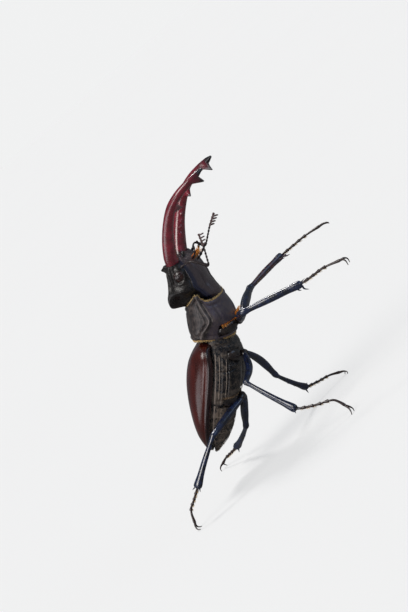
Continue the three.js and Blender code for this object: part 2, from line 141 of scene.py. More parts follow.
class Paint:
    """One material, whose patterns lie on object coordinates in millimetres."""

    def __init__(self, name):
        self.material = bpy.data.materials.new(name)
        self.material.use_nodes = True
        self.tree = self.material.node_tree
        self.tree.nodes.clear()
        place = self.node("ShaderNodeTexCoord", output="Object")
        self.place = self.node("ShaderNodeVectorMath", {"operation": "SCALE"},
                               {"Vector": place, "Scale": 1 / MM})

    def node(self, kind, settings=None, inputs=None, output=0):
        made = self.tree.nodes.new(kind)
        for key, value in (settings or {}).items():
            setattr(made, key, value)
        for key, value in (inputs or {}).items():
            if isinstance(value, Tone):
                self.tree.links.new(value.socket, made.inputs[key])
            else:
                made.inputs[key].default_value = value
        return Tone(self, made.outputs[output])

    def maths(self, operation, *values):
        return self.node("ShaderNodeMath", {"operation": operation}, dict(enumerate(values)))

    def along(self, region, stretch):
        """Object coordinates turned into a region's own frame and squeezed along the body."""
        turn = Matrix((region.forward, region.left, region.up)).to_euler()
        turned = self.node("ShaderNodeMapping", {"vector_type": "POINT"},
                           {"Vector": self.place, "Rotation": turn})
        return self.node("ShaderNodeVectorMath", {"operation": "MULTIPLY"},
                         {0: turned, 1: (1 / stretch, 1, 1)})

    def noise(self, per_mm, detail=2.0, place=None):
        return self.node("ShaderNodeTexNoise", None,
                         {"Vector": place or self.place, "Scale": per_mm, "Detail": detail}, "Fac")

    def pits(self, per_mm, width):
        """Round pits, 0 at each centre and 1 outside, width being their radius in cells."""
        cells = self.node("ShaderNodeTexVoronoi", {"feature": "F1"},
                          {"Vector": self.place, "Scale": per_mm}, "Distance")
        return self.step(cells, width * 0.35, width)

    def step(self, value, low, high):
        """Rises smoothly from 0 at low to 1 at high."""
        return self.node("ShaderNodeMapRange", {"interpolation_type": "SMOOTHSTEP"},
                         {"Value": value, "From Min": low, "From Max": high}, "Result")

    def worn(self, name):
        """A value that the piece carries on its points."""
        return self.node("ShaderNodeAttribute", {"attribute_name": name}, None, "Fac")

    def mix(self, share, first, second):
        inputs = {0: share, 6: first, 7: second}
        for key in (6, 7):
            if not isinstance(inputs[key], Tone):
                inputs[key] = (*inputs[key], 1)
        return self.node("ShaderNodeMix", {"data_type": "RGBA"}, inputs, 2)

    def finish(self, tone, rough, *reliefs, **others):
        """Ends the material in a Principled shader.

        Each relief is a height and its depth in millimetres, and lies over the ones before it. The
        others are more of the shader's sockets, Coat_Weight standing for Coat Weight."""
        values = {key.replace("_", " "): value for key, value in others.items()}
        values.update({"Base Color": tone, "Roughness": rough})
        for height, depth in reliefs:
            inputs = {"Height": height, "Distance": depth * MM, "Strength": 1.0}
            if "Normal" in values:
                inputs["Normal"] = values["Normal"]
            values["Normal"] = self.node("ShaderNodeBump", None, inputs, "Normal")
        self.node_output(self.node("ShaderNodeBsdfPrincipled", None, values, "BSDF"))
        return self.material

    def node_output(self, shader):
        end = self.tree.nodes.new("ShaderNodeOutputMaterial")
        self.tree.links.new(shader.socket, end.inputs["Surface"])


def paint_wing_case():
    """Polished wine-red horn, almost black along the seam and the side margin."""
    p = Paint("wing_case_wine")
    cloud = p.noise(0.35, 3.0, p.along(hind, 3.0))
    grain = p.noise(6.0, 3.0)
    red = p.mix(p.step(cloud, 0.3, 0.75), (0.040, 0.004, 0.002), (0.086, 0.007, 0.003))
    red = p.mix(p.step(grain, 0.55, 0.8) * 0.4, red, (0.022, 0.006, 0.005))
    red = p.mix(p.step(p.worn("rim"), 0.0, 1.0) * 0.9, red, (0.010, 0.005, 0.006))
    pores = p.pits(4.5, 0.28)
    rough = 0.20 + 0.14 * p.noise(1.3) + 0.10 * (1 - pores)
    fibre = p.noise(7.0, 3.0, p.along(hind, 4.0))
    return p.finish(red, rough, (p.noise(0.7, 2.0), 0.05), (fibre, 0.008), (pores, 0.004),
                    Coat_Weight=0.9, Coat_Roughness=0.19, Specular_IOR_Level=0.3)


def paint_jaw():
    """Polished crimson horn that goes black at the root, the teeth and the tip."""
    p = Paint("jaw_crimson")
    along = p.worn("along")
    cloud = p.noise(0.5, 3.0)
    red = p.mix(p.step(cloud, 0.3, 0.75), (0.120, 0.004, 0.011), (0.260, 0.010, 0.030))
    deep = p.step(along + 0.06 * p.noise(1.2), 0.62, 0.92)
    red = p.mix(deep * 0.8, red, (0.060, 0.004, 0.014))
    dark = p.step(p.worn("rim") + 0.25 * p.noise(1.6) - 0.12, 0.3, 0.9)
    red = p.mix(dark, red, (0.008, 0.004, 0.006))
    pores = p.pits(3.2, 0.22)
    rough = 0.20 + 0.14 * p.noise(1.1) + 0.15 * (1 - pores)
    return p.finish(red, rough, (p.noise(0.8), 0.06), (p.noise(7.0, 3.0), 0.010), (pores, 0.005),
                    Coat_Weight=1.0, Coat_Roughness=0.22, Specular_IOR_Level=0.8)


def paint_shell(name, dark, light, streaks, per_mm, depth, rough, region, smooth_from, below, blue):
    """Black-brown horn with close pits and lighter streaks along the body, smooth and lighter below,
    with a painted pale highlight along its ridges and margins and a painted blue sky reflection on the
    flank.

    smooth_from is how far down the flank the pits end, from 1 at the back to -1 at the belly; the last
    argument says from where to where on that scale lies the painted blue reflection of the sky."""
    p = Paint(name)
    lie = p.along(region, 2.4)
    cloud = p.noise(2.4, 4.0, lie)
    wear = p.step(cloud + 0.5 * p.noise(0.5, 3.0), 0.62, 0.98)
    flank = p.step(p.worn("back"), smooth_from - 0.1, smooth_from + 0.05)
    # Painted reflection: a band of the flank takes a blue tone that stands for the sky mirrored in the
    # shell.
    sky_sheen = p.step(p.worn("back"), blue[0] - 0.05, blue[0] + 0.05)
    sky_sheen = sky_sheen * (1 - p.step(p.worn("back"), blue[1] - 0.04, blue[1] + 0.04)) * (0.4 + cloud)
    tone = p.mix(wear * streaks, p.mix(flank, below, dark), light)
    tone = p.mix(sky_sheen * 0.85, tone, (0.009, 0.015, 0.050))
    pits = p.pits(per_mm, 0.42)
    coarse = 1 - (1 - pits) * (0.12 + 0.88 * flank)
    fine = p.pits(per_mm * 2.3, 0.36)
    tone = p.mix((1 - coarse) * 0.6, tone, (0.003, 0.003, 0.003))
    # Painted highlight: a pale tone along the ridges and margins that the rim mask marks, where edges catch
    # the light.
    tone = p.mix(p.worn("rim") * 0.7, tone, (0.290, 0.245, 0.235))
    gloss = rough + 0.16 * p.noise(1.7) + 0.12 * wear + 0.12 * (1 - coarse)
    return p.finish(tone, gloss, (p.noise(2.2, 3.0, lie), 0.05), (fine, depth * 0.4), (coarse, depth),
                    Coat_Weight=0.25, Coat_Roughness=0.20, Specular_IOR_Level=0.45)


def paint_underside(name, bloom, thick, lines):
    """Dark shell under a bloom of short hairs that lie back along the body.

    The bloom is thickest from thick[0] to thick[1] along the piece. lines are pale lines along the
    side: how far below the side they run, their width, and from where to where along the piece."""
    p = Paint(name)
    lie = p.along(hind, 4.0)
    strands = p.noise(6.0, 3.0, lie)
    patches = p.noise(0.8, 4.0)
    band = p.step(p.worn("along") + 0.1 * patches, thick[0], thick[0] + 0.05)
    band = band * (1 - p.step(p.worn("along") + 0.1 * patches, thick[1] - 0.05, thick[1]))
    hairy = p.step(strands + 0.9 * patches + 0.16 * band, 0.92 - 0.1 * bloom, 1.2 - 0.1 * bloom)
    pores = p.pits(2.6, 0.4)
    tone = p.mix(p.step(patches, 0.35, 0.62), (0.004, 0.005, 0.009), (0.026, 0.021, 0.020))
    tone = p.mix(hairy * (0.55 + 0.3 * bloom), tone, (0.205, 0.155, 0.118))
    pale = p.worn("rim")
    for low, width, start, end in lines:
        off = p.maths("ABSOLUTE", p.worn("back") + low)
        along = p.worn("along")
        line = (1 - p.step(off, width * 0.3, width)) * p.step(along, start, start + 0.06)
        pale = pale + line * (1 - p.step(along, end - 0.05, end))
    tone = p.mix(p.step(pale * (0.45 + strands), 0.15, 0.95) * 0.85, tone, (0.480, 0.385, 0.315))
    rough = 0.26 + 0.40 * hairy
    return p.finish(tone, rough, (strands, 0.06), (pores, 0.035), Coat_Weight=0.12,
                    Coat_Roughness=0.3, Specular_IOR_Level=0.5)


def paint_leg(name, dark, light, brown, shine):
    """Polished shell with fine pits; brown says how far its middle shows red-brown."""
    p = Paint(name)
    along = p.worn("along")
    window = p.step(along, 0.12, 0.35) * (1 - p.step(along, 0.62, 0.86))
    tone = p.mix(p.step(p.noise(0.8, 3.0), 0.3, 0.7), dark, light)
    tone = p.mix(window * p.step(p.noise(0.7), 0.3, 0.6) * brown, tone, (0.130, 0.022, 0.012))
    pores = p.pits(3.4, 0.3)
    rough = 0.14 + 0.18 * p.noise(2.0) + 0.18 * (1 - pores)
    return p.finish(tone, rough, (p.noise(1.6, 3.0), 0.04), (pores, 0.010), Coat_Weight=shine,
                    Coat_Roughness=0.22, Specular_IOR_Level=0.85)


def paint_foot():
    """Dark brown half-gloss shell of the feet and claws."""
    p = Paint("foot_brown")
    tone = p.mix(p.noise(1.5, 3.0), (0.012, 0.008, 0.010), (0.050, 0.022, 0.016))
    return p.finish(tone, 0.26 + 0.2 * p.noise(3.0), (p.noise(5.0, 3.0), 0.03), Coat_Weight=0.4,
                    Coat_Roughness=0.18, Specular_IOR_Level=0.55)


def paint_feeler():
    """Black-brown shell of the feelers and palps."""
    p = Paint("feeler_black")
    tone = p.mix(p.noise(1.3, 3.0), (0.010, 0.007, 0.009), (0.034, 0.018, 0.016))
    return p.finish(tone, 0.3 + 0.2 * p.noise(2.5), (p.pits(4.0, 0.35), 0.015), Coat_Weight=0.35,
                    Coat_Roughness=0.2)


def paint_club():
    """Velvety purple-brown leaves of the feeler's club."""
    p = Paint("club_velvet")
    down = p.noise(12.0, 3.0)
    tone = p.mix(p.step(down, 0.3, 0.7), (0.040, 0.018, 0.020), (0.150, 0.080, 0.078))
    return p.finish(tone, 0.55 + 0.2 * down, (down, 0.02), Sheen_Weight=0.3)


def paint_eye():
    """Polished dark red-brown eye with its field of tiny lenses."""
    p = Paint("eye_facets")
    lenses = p.node("ShaderNodeTexVoronoi", {"feature": "DISTANCE_TO_EDGE"},
                    {"Vector": p.place, "Scale": 7.0, "Randomness": 0.35}, "Distance")
    cloud = p.noise(0.8, 2.0)
    tone = p.mix(p.step(cloud, 0.35, 0.65), (0.010, 0.003, 0.002), (0.036, 0.006, 0.004))
    tone = p.mix((1 - p.step(lenses, 0.0, 0.12)) * 0.6, tone, (0.010, 0.003, 0.003))
    return p.finish(tone, 0.12 + 0.08 * cloud, (p.step(lenses, 0.0, 0.35), 0.018), Coat_Weight=0.8,
                    Coat_Roughness=0.06, Specular_IOR_Level=0.6)


def paint_hair(name, root, tip):
    """Stiff hair, darker at the root, its tone changing from hair to hair."""
    p = Paint(name)
    tone = p.mix(p.step(p.worn("along"), 0.0, 0.6), root, tip)
    tone = p.mix(p.noise(2.2, 2.0) * 0.5, tone, root)
    return p.finish(tone, 0.42 + 0.15 * p.noise(8.0), Sheen_Weight=0.2)


PAINTS = {
    "wing_case": paint_wing_case(),
    "jaw": paint_jaw(),
    # The head's last pair of values places its painted blue sky reflection on the lower flank of the head.
    "head": paint_shell("head_pitted", (0.004, 0.003, 0.003), (0.034, 0.022, 0.018), 0.45,
                        3.0, 0.085, 0.20, skull, -0.55, (0.090, 0.064, 0.068), (-0.74, -0.5)),
    "shield": paint_shell("shield_satin", (0.018, 0.014, 0.015), (0.135, 0.105, 0.096), 0.85,
                          4.6, 0.035, 0.22, fore, -0.2, (0.072, 0.055, 0.076), (-1.3, -1.2)),
    "breast": paint_underside("breast_bloom", 0.0, (0.80, 1.02), (
        (0.0, 0.020, 0.24, 0.97), (0.10, 0.018, 0.26, 0.90), (0.38, 0.018, 0.30, 0.88))),
    "belly": paint_underside("belly_bloom", 1.0, (0.18, 0.36), ((0.0, 0.022, 0.0, 0.85),)),
    "hip": paint_leg("hip_brown_black", (0.006, 0.005, 0.006), (0.030, 0.019, 0.016), 0.0, 0.1),
    # Painted reflection: the lighter blue tone of thighs and shins stands for the sky mirrored in black
    # shell.
    "leg": paint_leg("leg_black_painted_sky_blue", (0.005, 0.006, 0.014), (0.010, 0.020, 0.068), 0.0, 0.8),
    "shin": paint_leg("shin_brown_window", (0.005, 0.006, 0.014), (0.010, 0.020, 0.068), 0.55, 0.8),
    "foot": paint_foot(),
    "feeler": paint_feeler(),
    "club": paint_club(),
    "eye": paint_eye(),
    "gold": paint_hair("hair_gold", (0.620, 0.330, 0.080), (1.000, 0.760, 0.360)),
    "orange": paint_hair("hair_orange", (0.860, 0.210, 0.008), (1.000, 0.440, 0.040)),
    "tan": paint_hair("hair_tan", (0.090, 0.045, 0.018), (0.520, 0.320, 0.150)),
    "grey": paint_hair("hair_grey_gold", (0.080, 0.058, 0.040), (0.300, 0.225, 0.150)),
}


# ---------------------------------------------------------------- shaping tools
def mix(a, b, t):
    return a + (b - a) * t


def clamp(x, low=0.0, high=1.0):
    return max(low, min(high, x))


def ease(x, low, high):
    """Rises smoothly from 0 at low to 1 at high."""
    t = clamp((x - low) / (high - low))
    return t * t * (3 - 2 * t)


def hump(x, centre, width):
    return math.exp(-(((x - centre) / width) ** 2))


def through(*stations):
    """A smooth curve of a size through a few stations (where, size)."""
    xs, ys = zip(*sorted(stations))
    last = len(xs) - 1

    def slope(i):
        a, b = max(0, i - 1), min(last, i + 1)
        return (ys[b] - ys[a]) / (xs[b] - xs[a])

    slopes = [slope(i) for i in range(last + 1)]

    def curve(x):
        if x <= xs[0]:
            return ys[0]
        if x >= xs[last]:
            return ys[last]
        i = bisect.bisect_right(xs, x) - 1
        h = xs[i + 1] - xs[i]
        t = (x - xs[i]) / h
        p, q = slopes[i] * h, slopes[i + 1] * h
        d = ys[i + 1] - ys[i]
        return ys[i] + p * t + (3 * d - 2 * p - q) * t * t + (p + q - 2 * d) * t ** 3

    return curve


def route(points):
    """A smooth path through points, as a function of the share of its length."""
    reach = [0.0]
    for a, b in zip(points, points[1:]):
        reach.append(reach[-1] + (b - a).length)
    axes = [through(*((r / reach[-1], p[k]) for r, p in zip(reach, points))) for k in range(3)]
    return lambda s: Vector([axis(s) for axis in axes])


def rounded(t, share):
    """Closes a limb to a point at both ends, over a share of its length there."""
    k = min(1, t / share, (1 - t) / share)
    return 1 if k >= 1 else math.sqrt(max(0, 1 - (1 - k) ** 2))


def section(angle, half, over, under, full_over, full_under):
    """A point of a cross-section: half-width, height over and depth under its widest line, fullness."""
    c, s = math.cos(angle), math.sin(angle)
    power = 2 / (full_over if s >= 0 else full_under)
    rise = over if s >= 0 else under
    return (half * math.copysign(abs(c) ** power, c), rise * math.copysign(abs(s) ** power, s))


# Values that every point of a piece carries for the paints.
CARRIED = ("along", "rim", "back")


def new_mesh():
    bm = bmesh.new()
    for name in CARRIED:
        bm.verts.layers.float.new(name)
    return bm


def skin(bm, sides, rings, place, rim=None):
    """A closed body from a ball whose rings are each put in place by place(t, angle); t runs 0 to 1.

    rim(t, angle) is a mask that the paint reads, such as a dark margin."""
    ball = bmesh.ops.create_uvsphere(bm, u_segments=sides, v_segments=rings, radius=1)["verts"]
    along, edge, back = (bm.verts.layers.float[name] for name in CARRIED)
    for v in ball:
        t = math.acos(clamp(v.co.z, -1, 1)) / PI
        a = math.atan2(v.co.y, v.co.x)
        v[along] = t
        v[back] = math.sin(a)
        v[edge] = rim(t, a) if rim else 0
        if t < 1e-3 or t > 1 - 1e-3:
            v.co = sum((place(round(t), FULL * i / 12) for i in range(12)), Vector()) / 12
        else:
            v.co = place(t, a)
    return ball


def limb(bm, points, sides, rings, ends, wide, thick=None, lean=None, shape=None):
    """A limb along a path. wide and thick give its half-sizes in millimetres at t; lean turns it.

    ends is the share of its length that each end is rounded over, or 0. shape(t, angle) is added to
    the radius, in millimetres."""
    path = route(points)
    thick = thick or wide
    lean = lean or Vector((0.03, 0.02, 1))

    def place(even, a):
        t = (1 - math.cos(PI * even)) / 2
        way = (path(min(1, t + 0.01)) - path(max(0, t - 0.01))).normalized()
        side = lean.cross(way).normalized()
        over = way.cross(side).normalized()
        more = shape(t, a) * rounded(t, 0.03) if shape else 0
        cap = rounded(t, ends) if ends else 1
        out = side * (wide(t) * cap + more) * math.cos(a) + over * (thick(t) * cap + more) * math.sin(a)
        return path(t) + out * MM

    return skin(bm, sides, rings, place)


def pull(verts, root, tip, radius, power):
    """Draws the points within a radius (mm) of root out towards tip, into a smooth tooth."""
    reach = radius * MM
    for v in verts:
        d = (v.co - root).length / reach
        if d < 1:
            v.co += (tip - root) * (1 - d) ** power


def placed(bm, name, material):
    """Ends a mesh as an object of the scene."""
    mesh = bpy.data.meshes.new(name)
    bm.to_mesh(mesh)
    bm.free()
    mesh.materials.append(material)
    made = bpy.data.objects.new(name, mesh)
    bpy.context.scene.collection.objects.link(made)
    return made


def piece(bm, name, paint, slot, *nodes, wall=0.0, bevel=0.0):
    """Ends a mesh as a piece of the beetle that stands for some CAD nodes."""
    bmesh.ops.remove_doubles(bm, verts=bm.verts, dist=1e-7)
    bmesh.ops.recalc_face_normals(bm, faces=bm.faces)
    made = placed(bm, name, PAINTS[paint])
    made.data.shade_smooth()
    if wall:
        solid = made.modifiers.new("wall", "SOLIDIFY")
        solid.thickness = wall * MM
        solid.offset = -1
    if bevel:
        rounding = made.modifiers.new("rounding", "BEVEL")
        rounding.width = bevel * MM
        rounding.segments = 2
        rounding.limit_method = "ANGLE"
        rounding.angle_limit = math.radians(50)
    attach(made, "root")
    if nodes:
        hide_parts(*nodes)


def shell(name, paint, slot, node, sides, rings, place, rim=None):
    """A piece that is one closed skin."""
    bm = new_mesh()
    skin(bm, sides, rings, place, rim)
    piece(bm, name, paint, slot, node)


# ---------------------------------------------------------------- wing cases
CASE_FRONT, CASE_BACK, CASE_WIDEST, CASE_HALF = 1.5, -30.7, -11.0, 10.3
case_edge = through((1.5, 0.6), (0.4, 0.5), (-3, -0.4), (-6, -0.7), (-14, -0.2), (-23, 0.6),
                    (-30.7, 0.7))
case_top = through((1.5, 2.4), (0.4, 3.5), (-2, 5.15), (-5.6, 6.65), (-11.2, 7.1), (-18.2, 6.2),
                   (-25.1, 4.3), (-28.6, 2.3), (-30.7, 0.7))


def case_half(f):
    ahead = f > CASE_WIDEST
    reach = clamp((f - CASE_WIDEST) / ((CASE_FRONT if ahead else CASE_BACK) - CASE_WIDEST))
    full = 4.5 if ahead else 2.05
    return CASE_HALF * (1 - reach ** full) ** (1 / full)


def plate_half(f):
    """Half-width of the small plate between the roots of the wing cases."""
    return 0.50 * max(0.0, f + 4.3)


def build_wing_case(side, s):
    """A domed case: its seam runs straight down the back, its side margin is a rolled bead."""
    bm = new_mesh()
    edge_layer = bm.verts.layers.float["rim"]
    middle_f, length = (CASE_FRONT + CASE_BACK) / 2, (CASE_FRONT - CASE_BACK) / 2
    roll = 0.90  # the share of the width that lies above the side margin; the rest is tucked in
    first = 0.058  # where the front row of points lies, which cuts the front end off square
    shy = 0.99995  # keeps the last row just short of the back end, where the width is nothing
    for v in bmesh.ops.create_grid(bm, x_segments=120, y_segments=64, size=1)["verts"]:
        t, q = (v.co.x + 1) / 2, (v.co.y + 1) / 2
        f = middle_f + length * math.cos(PI * mix(first, 1, t)) * shy
        half, edge = case_half(f), case_edge(f)
        across = min(1, q / roll)
        a = PI / 2 * (1 - across)
        l, u = section(a, half, case_top(f) - edge, 0, 2.25, 2)
        tuck = max(0, (q - roll) / (1 - roll))
        l -= 0.10 * half * tuck
        u -= 0.75 * math.sin(tuck * PI / 2) * min(1, half / 3)
        open_at = max(0.04, plate_half(f))
        l = open_at + l * (1 - open_at / max(half, open_at + 0.01))
        from_edge = a * half + tuck
        bead = 0.13 * hump(from_edge, 0.15, 0.35) - 0.12 * hump(from_edge, 1.05, 0.38)
        seam = 0.09 * hump(l - open_at, 0.2, 0.25) - 0.07 * hump(l - open_at, 0.75, 0.3)
        shoulder = 0.45 * hump(f, -3.0, 1.8) * hump(l, 6.9, 1.6)
        shoulder -= 0.18 * hump(f, -2.2, 1.6) * hump(l, 4.2, 1.2)
        lip = 0.45 * ease(f, -0.4, 1.1)
        size = min(1, half / 2)
        l += (bead + 0.5 * shoulder) * math.cos(a) * size
        u += (bead + seam + shoulder) * math.sin(a) * size - lip
        v[edge_layer] = max(hump(l - open_at, 0, 0.35), hump(from_edge, 0, 0.75), tuck,
                            hump(f, CASE_BACK, 0.9), 0.8 * hump(f, CASE_FRONT, 0.8))
        v.co = hind.at(f, s * l, edge + u)
    piece(bm, f"wing_case_{side}", "wing_case", "wing_case", f"elytron_{side}", wall=0.55, bevel=0.12)


def build_plate():
    """The small three-cornered plate that the roots of the wing cases close round."""
    def place(t, a):
        f = mix(0.35, -4.15, t)
        close = rounded(t, 0.16)
        l, u = section(a, max(0.05, plate_half(f) - 0.1) * close, 0.5 * close, 0.6 * close, 2.6, 2)
        return hind.at(f, l, min(case_top(f), 4.5) - 0.45 - 0.5 * ease(f, -1.3, 0.1) + u)

    shell("small_plate", "shield", "head_shell", "scutellum", 40, 40, place)


# ---------------------------------------------------------------- thorax and abdomen
THORAX_FRONT, THORAX_BACK = 4.3, -16.0
trunk_half = through((4.2, 4.6), (2, 6.4), (0, 7.0), (-2, 7.6), (-5, 8.4), (-10, 8.6), (-15, 8.4),
                     (-20, 7.4), (-24, 5.8), (-28, 3.0), (-30.4, 1.5))
trunk_top = through((4.2, 1.6), (1, 2.2), (-1, 2.9), (-5.6, 4.8), (-11.2, 5.8), (-18.2, 5.2),
                    (-25.1, 2.5), (-28, 0.3), (-31.2, -0.4))
trunk_low = through((4.2, -3.2), (2.4, -4.4), (0.6, -6.3), (-2, -7.5), (-7, -7.9), (-12, -7.5),
                    (-16, -6.6), (-20.7, -5.6), (-23.2, -5.2), (-27.2, -3.7), (-30, -1.7),
                    (-31.2, -0.9))
trunk_edge = through((4.2, -0.6), (0, -1.5), (-6, -2.0), (-14, -1.7), (-23, -0.9), (-31.2, -0.6))


def trunk_point(f, a, relief, close):
    """A point of the trunk's skin, with a relief in millimetres along its slope."""
    edge = trunk_edge(f)
    over, under = (trunk_top(f) - edge) * close, (edge - trunk_low(f)) * close
    l, u = section(a, trunk_half(f) * close, over, under, 2.3, 2.7)
    return hind.at(f, l + relief * math.cos(a) * close, edge + u + relief * math.sin(a) * close)


SIDE_LINES = (0.16, 0.47)


def thorax_relief(f, a):
    """Grooves between the plates of the thorax, its swollen middle, and hollows for the coxae."""
    low = -math.sin(a)
    l = abs(math.cos(a))
    if low < -0.05:
        return 0
    body = ease(-f, 0.5, 3.0) * (1 - ease(-f, 14.2, 15.4))
    lines = sum(0.30 * hump(low, line, 0.030) - 0.16 * hump(low, line + 0.065, 0.03)
                for line in SIDE_LINES)
    centre = 0.42 * hump(l, 0, 0.035) * ease(low, 0.5, 0.8)
    swell = 0.45 * hump(f, -9.5, 3.6) * hump(l, 0.38, 0.2) * ease(low, 0.5, 0.8)
    cross = 0.32 * hump(f + 4.3 + 1.7 * l, 0, 0.26) + 0.4 * hump(f, 1.0, 0.3)
    rear = 0.3 * hump(f + 13.0 + 0.9 * l, 0, 0.28)
    socket = 0.7 * ease(-f, 0.5, 1.0) * (1 - ease(-f, 3.9, 4.3))
    socket = socket * ease(l, 0.12, 0.2) * (1 - ease(l, 0.82, 0.88))
    socket += 0.7 * ease(-f, 13.1, 13.4) * (1 - ease(l, 0.93, 0.98)) * ease(l, 0.03, 0.08)
    plates = swell - (lines + centre) * body - (cross + rear) * ease(low, -0.02, 0.1)
    return plates - socket * ease(low, 0.3, 0.4)


def build_thorax():
    def place(t, a):
        f = mix(THORAX_FRONT, THORAX_BACK, t)
        return trunk_point(f, a, thorax_relief(f, a), rounded(t, 0.03))

    shell("thorax_shell", "breast", "body_shell", "thorax", 168, 150, place)


BELLY_FRONT, BELLY_BACK = -14.6, -31.2
BELLY_JOINTS = (-15.9, -18.9, -21.5, -24.0, -26.7, -31.4)


def belly_step(f):
    """How far along its own belly plate a place is, 0 in front and 1 at the back edge."""
    for front, back in zip(BELLY_JOINTS, BELLY_JOINTS[1:]):
        if f >= back:
            return clamp((front - f) / (front - back))
    return 1.0


def build_abdomen():
    """Five belly plates, each back edge standing over the next one's front."""
    def place(t, a):
        f = mix(BELLY_FRONT, BELLY_BACK, t)
        low = -math.sin(a)
        step = belly_step(f)
        lap = (0.34 * step ** 2.5 - 0.12) * ease(low, -0.2, 0.15) * (1 - 0.5 * ease(-f, 28, 31))
        side = -0.25 * hump(low, 0.22, 0.05)
        inside = -0.8 * (1 - ease(-f, 15.9, 16.3)) * ease(low, 0.1, 0.3)
        return trunk_point(f, a, lap + side + inside, rounded(t, 0.03))

    def rim(t, a):
        f = mix(BELLY_FRONT, BELLY_BACK, t)
        return 0.7 * hump(belly_step(f), 0.97, 0.05) * ease(-math.sin(a), 0.0, 0.2)

    shell("abdomen_shell", "belly", "body_shell", "abdomen", 150, 190, place, rim)


# ---------------------------------------------------------------- prothorax
shield_half = through((0, 6.6), (1.2, 7.2), (3, 8.1), (5.2, 8.9), (6.4, 9.1), (9, 8.75), (11.5, 8.5),
                      (13.9, 8.5))
shield_edge = through((0, 2.0), (2.6, 1.4), (6.4, -2.3), (9.5, -1.6), (12.9, -0.7))
shield_top = through((0, 5.3), (2.5, 5.6), (5.3, 5.6), (9.2, 5.0), (13, 4.2))
shield_low = through((0, -6.2), (2, -7.3), (4.4, -7.6), (6.6, -7.2), (9.6, -6.2), (13, -5.1))
SHIELD_AXIS = -0.6
# Along the skin: how far forward a ring stands, as a share of the shield's length, and its size.
shield_run = through((0, 0.14), (0.05, 0.05), (0.09, 0.0), (0.13, 0.015), (0.87, 0.985), (0.91, 1.0),
                     (0.94, 0.985), (1, 0.62))
shield_size = through((0, 0.0), (0.05, 0.90), (0.09, 0.965), (0.13, 1.0), (0.87, 1.0), (0.91, 0.965),
                      (0.94, 0.90), (0.97, 0.6), (1, 0.0))
# Where the two margins stand, by the angle in degrees from the middle of the back.
front_margin = through((0, 9.7), (38, 10.8), (60, 12.1), (75, 13.1), (86, 13.9), (94, 13.7),
                       (102, 12.7), (110, 11.7), (134, 11.2), (170, 11.2), (180, 11.2))
rear_margin = through((0, 1.4), (60, 1.6), (88, 1.6), (112, 0.7), (140, 0.1), (180, 0))


def shield_ends(a):
    from_back = math.degrees(abs((a - PI / 2 + PI) % FULL - PI))
    return rear_margin(from_back), front_margin(from_back)


def shield_point(t, a):
    rear, front = shield_ends(a)
    f = mix(rear, front, shield_run(t))
    c, up = math.cos(a), math.sin(a)
    edge = shield_edge(f)
    l, u = section(a, shield_half(f), shield_top(f) - edge, edge - shield_low(f), 2.1, 1.9)
    from_side = abs(a if abs(a) < PI / 2 else PI - abs(a))
    margin = 0.50 * hump(from_side, 0, 0.045) - 0.16 * hump(from_side, 0.11, 0.05)
    margin *= ease(f - rear, 1.0, 3)
    rims = 0.16 * hump(front - f, 0.45, 0.4) + 0.16 * hump(f - rear, 0.5, 0.35)
    rims -= 0.12 * hump(front - f, 1.25, 0.35) + 0.14 * hump(f - rear, 1.25, 0.35)
    above = max(0, up)
    dents = 0.16 * hump(c, 0, 0.09) * hump(f, 5.5, 3.5)
    dents += 0.22 * hump(abs(c), 0.62, 0.12) * hump(f, 6.4, 1.5)
    below = 0.22 * hump(abs(c), 0.80, 0.05) * hump(f, 7.2, 4.0) * (up < 0)
    bulge = 0.5 * hump(f, 3.4, 1.8) * hump(c, 0, 0.25) * (up < 0)
    socket = ease(f, 0.7, 1.2) * (1 - ease(f, 3.95, 4.25))
    socket = socket * (1 - ease(abs(c), 0.78, 0.86)) * ease(abs(c), 0.05, 0.12)
    relief = rims - dents * above - below + bulge - 0.9 * socket * (up < 0)
    l += (relief + margin * 1.2) * math.copysign(min(1, abs(c) * 1.3), c)
    u += relief * up + margin * 0.25
    size = shield_size(t)
    return fore.at(f, l * size, SHIELD_AXIS + (edge + u - SHIELD_AXIS) * size)


def build_prothorax():
    # The mask for the painted pale highlight along the side margins, fainter along the front and rear
    # edges.
    def rim(t, a):
        lateral = hump(abs(a if abs(a) < PI / 2 else PI - abs(a)), 0, 0.04)
        return clamp(lateral + 0.25 * (hump(t, 0.1, 0.03) + hump(t, 0.9, 0.03)))

    shell("prothorax_shell", "shield", "head_shell", "prothorax", 200, 130, shield_point, rim)


# ---------------------------------------------------------------- head
skull_half = through((-1.4, 5.0), (0, 5.7), (1.3, 6.4), (2.1, 8.7), (3, 9.6), (4, 10.0), (6.5, 9.8),
                     (8.5, 9.1), (10, 8.9), (11.8, 8.5), (12.8, 8.0), (13.4, 7.2))
skull_top = through((-1.4, 3.4), (0, 4.6), (1.3, 5.1), (2.1, 6.2), (3, 6.3), (7, 6.2), (10.5, 6.3),
                    (12.2, 6.2), (13.4, 5.2))
skull_low = through((-1.4, -2.8), (0, -4.0), (1.4, -4.6), (4, -3.6), (5.4, -2.8), (8.1, -2.3),
                    (10.5, -1.5), (12.3, -0.4), (13.2, 1.2))
HEAD_BACK, HEAD_FRONT = -1.5, 13.4
HEAD_SIDE = 2.2  # where the head is widest, above its axis
EYE = (10.0, 8.25, 2.2)
EYE_SIZE = (1.75, 1.15, 1.6)
JAW_ROOT = (12.3, 5.1, 3.5)
crest_side = through((1.2, 0), (2.1, 1.9), (2.7, 2.35), (3.6, 2.4), (4.8, 2.15), (5.9, 1.6),
                     (7.5, 1.05), (10, 0.25), (12, 0))
crest_middle = through((1.2, 0), (2.0, 1.6), (2.7, 1.4), (4, 0.4), (6, -0.35), (9, -0.25), (10.8, 0.1),
                       (11.5, 0.5), (12.3, 0))


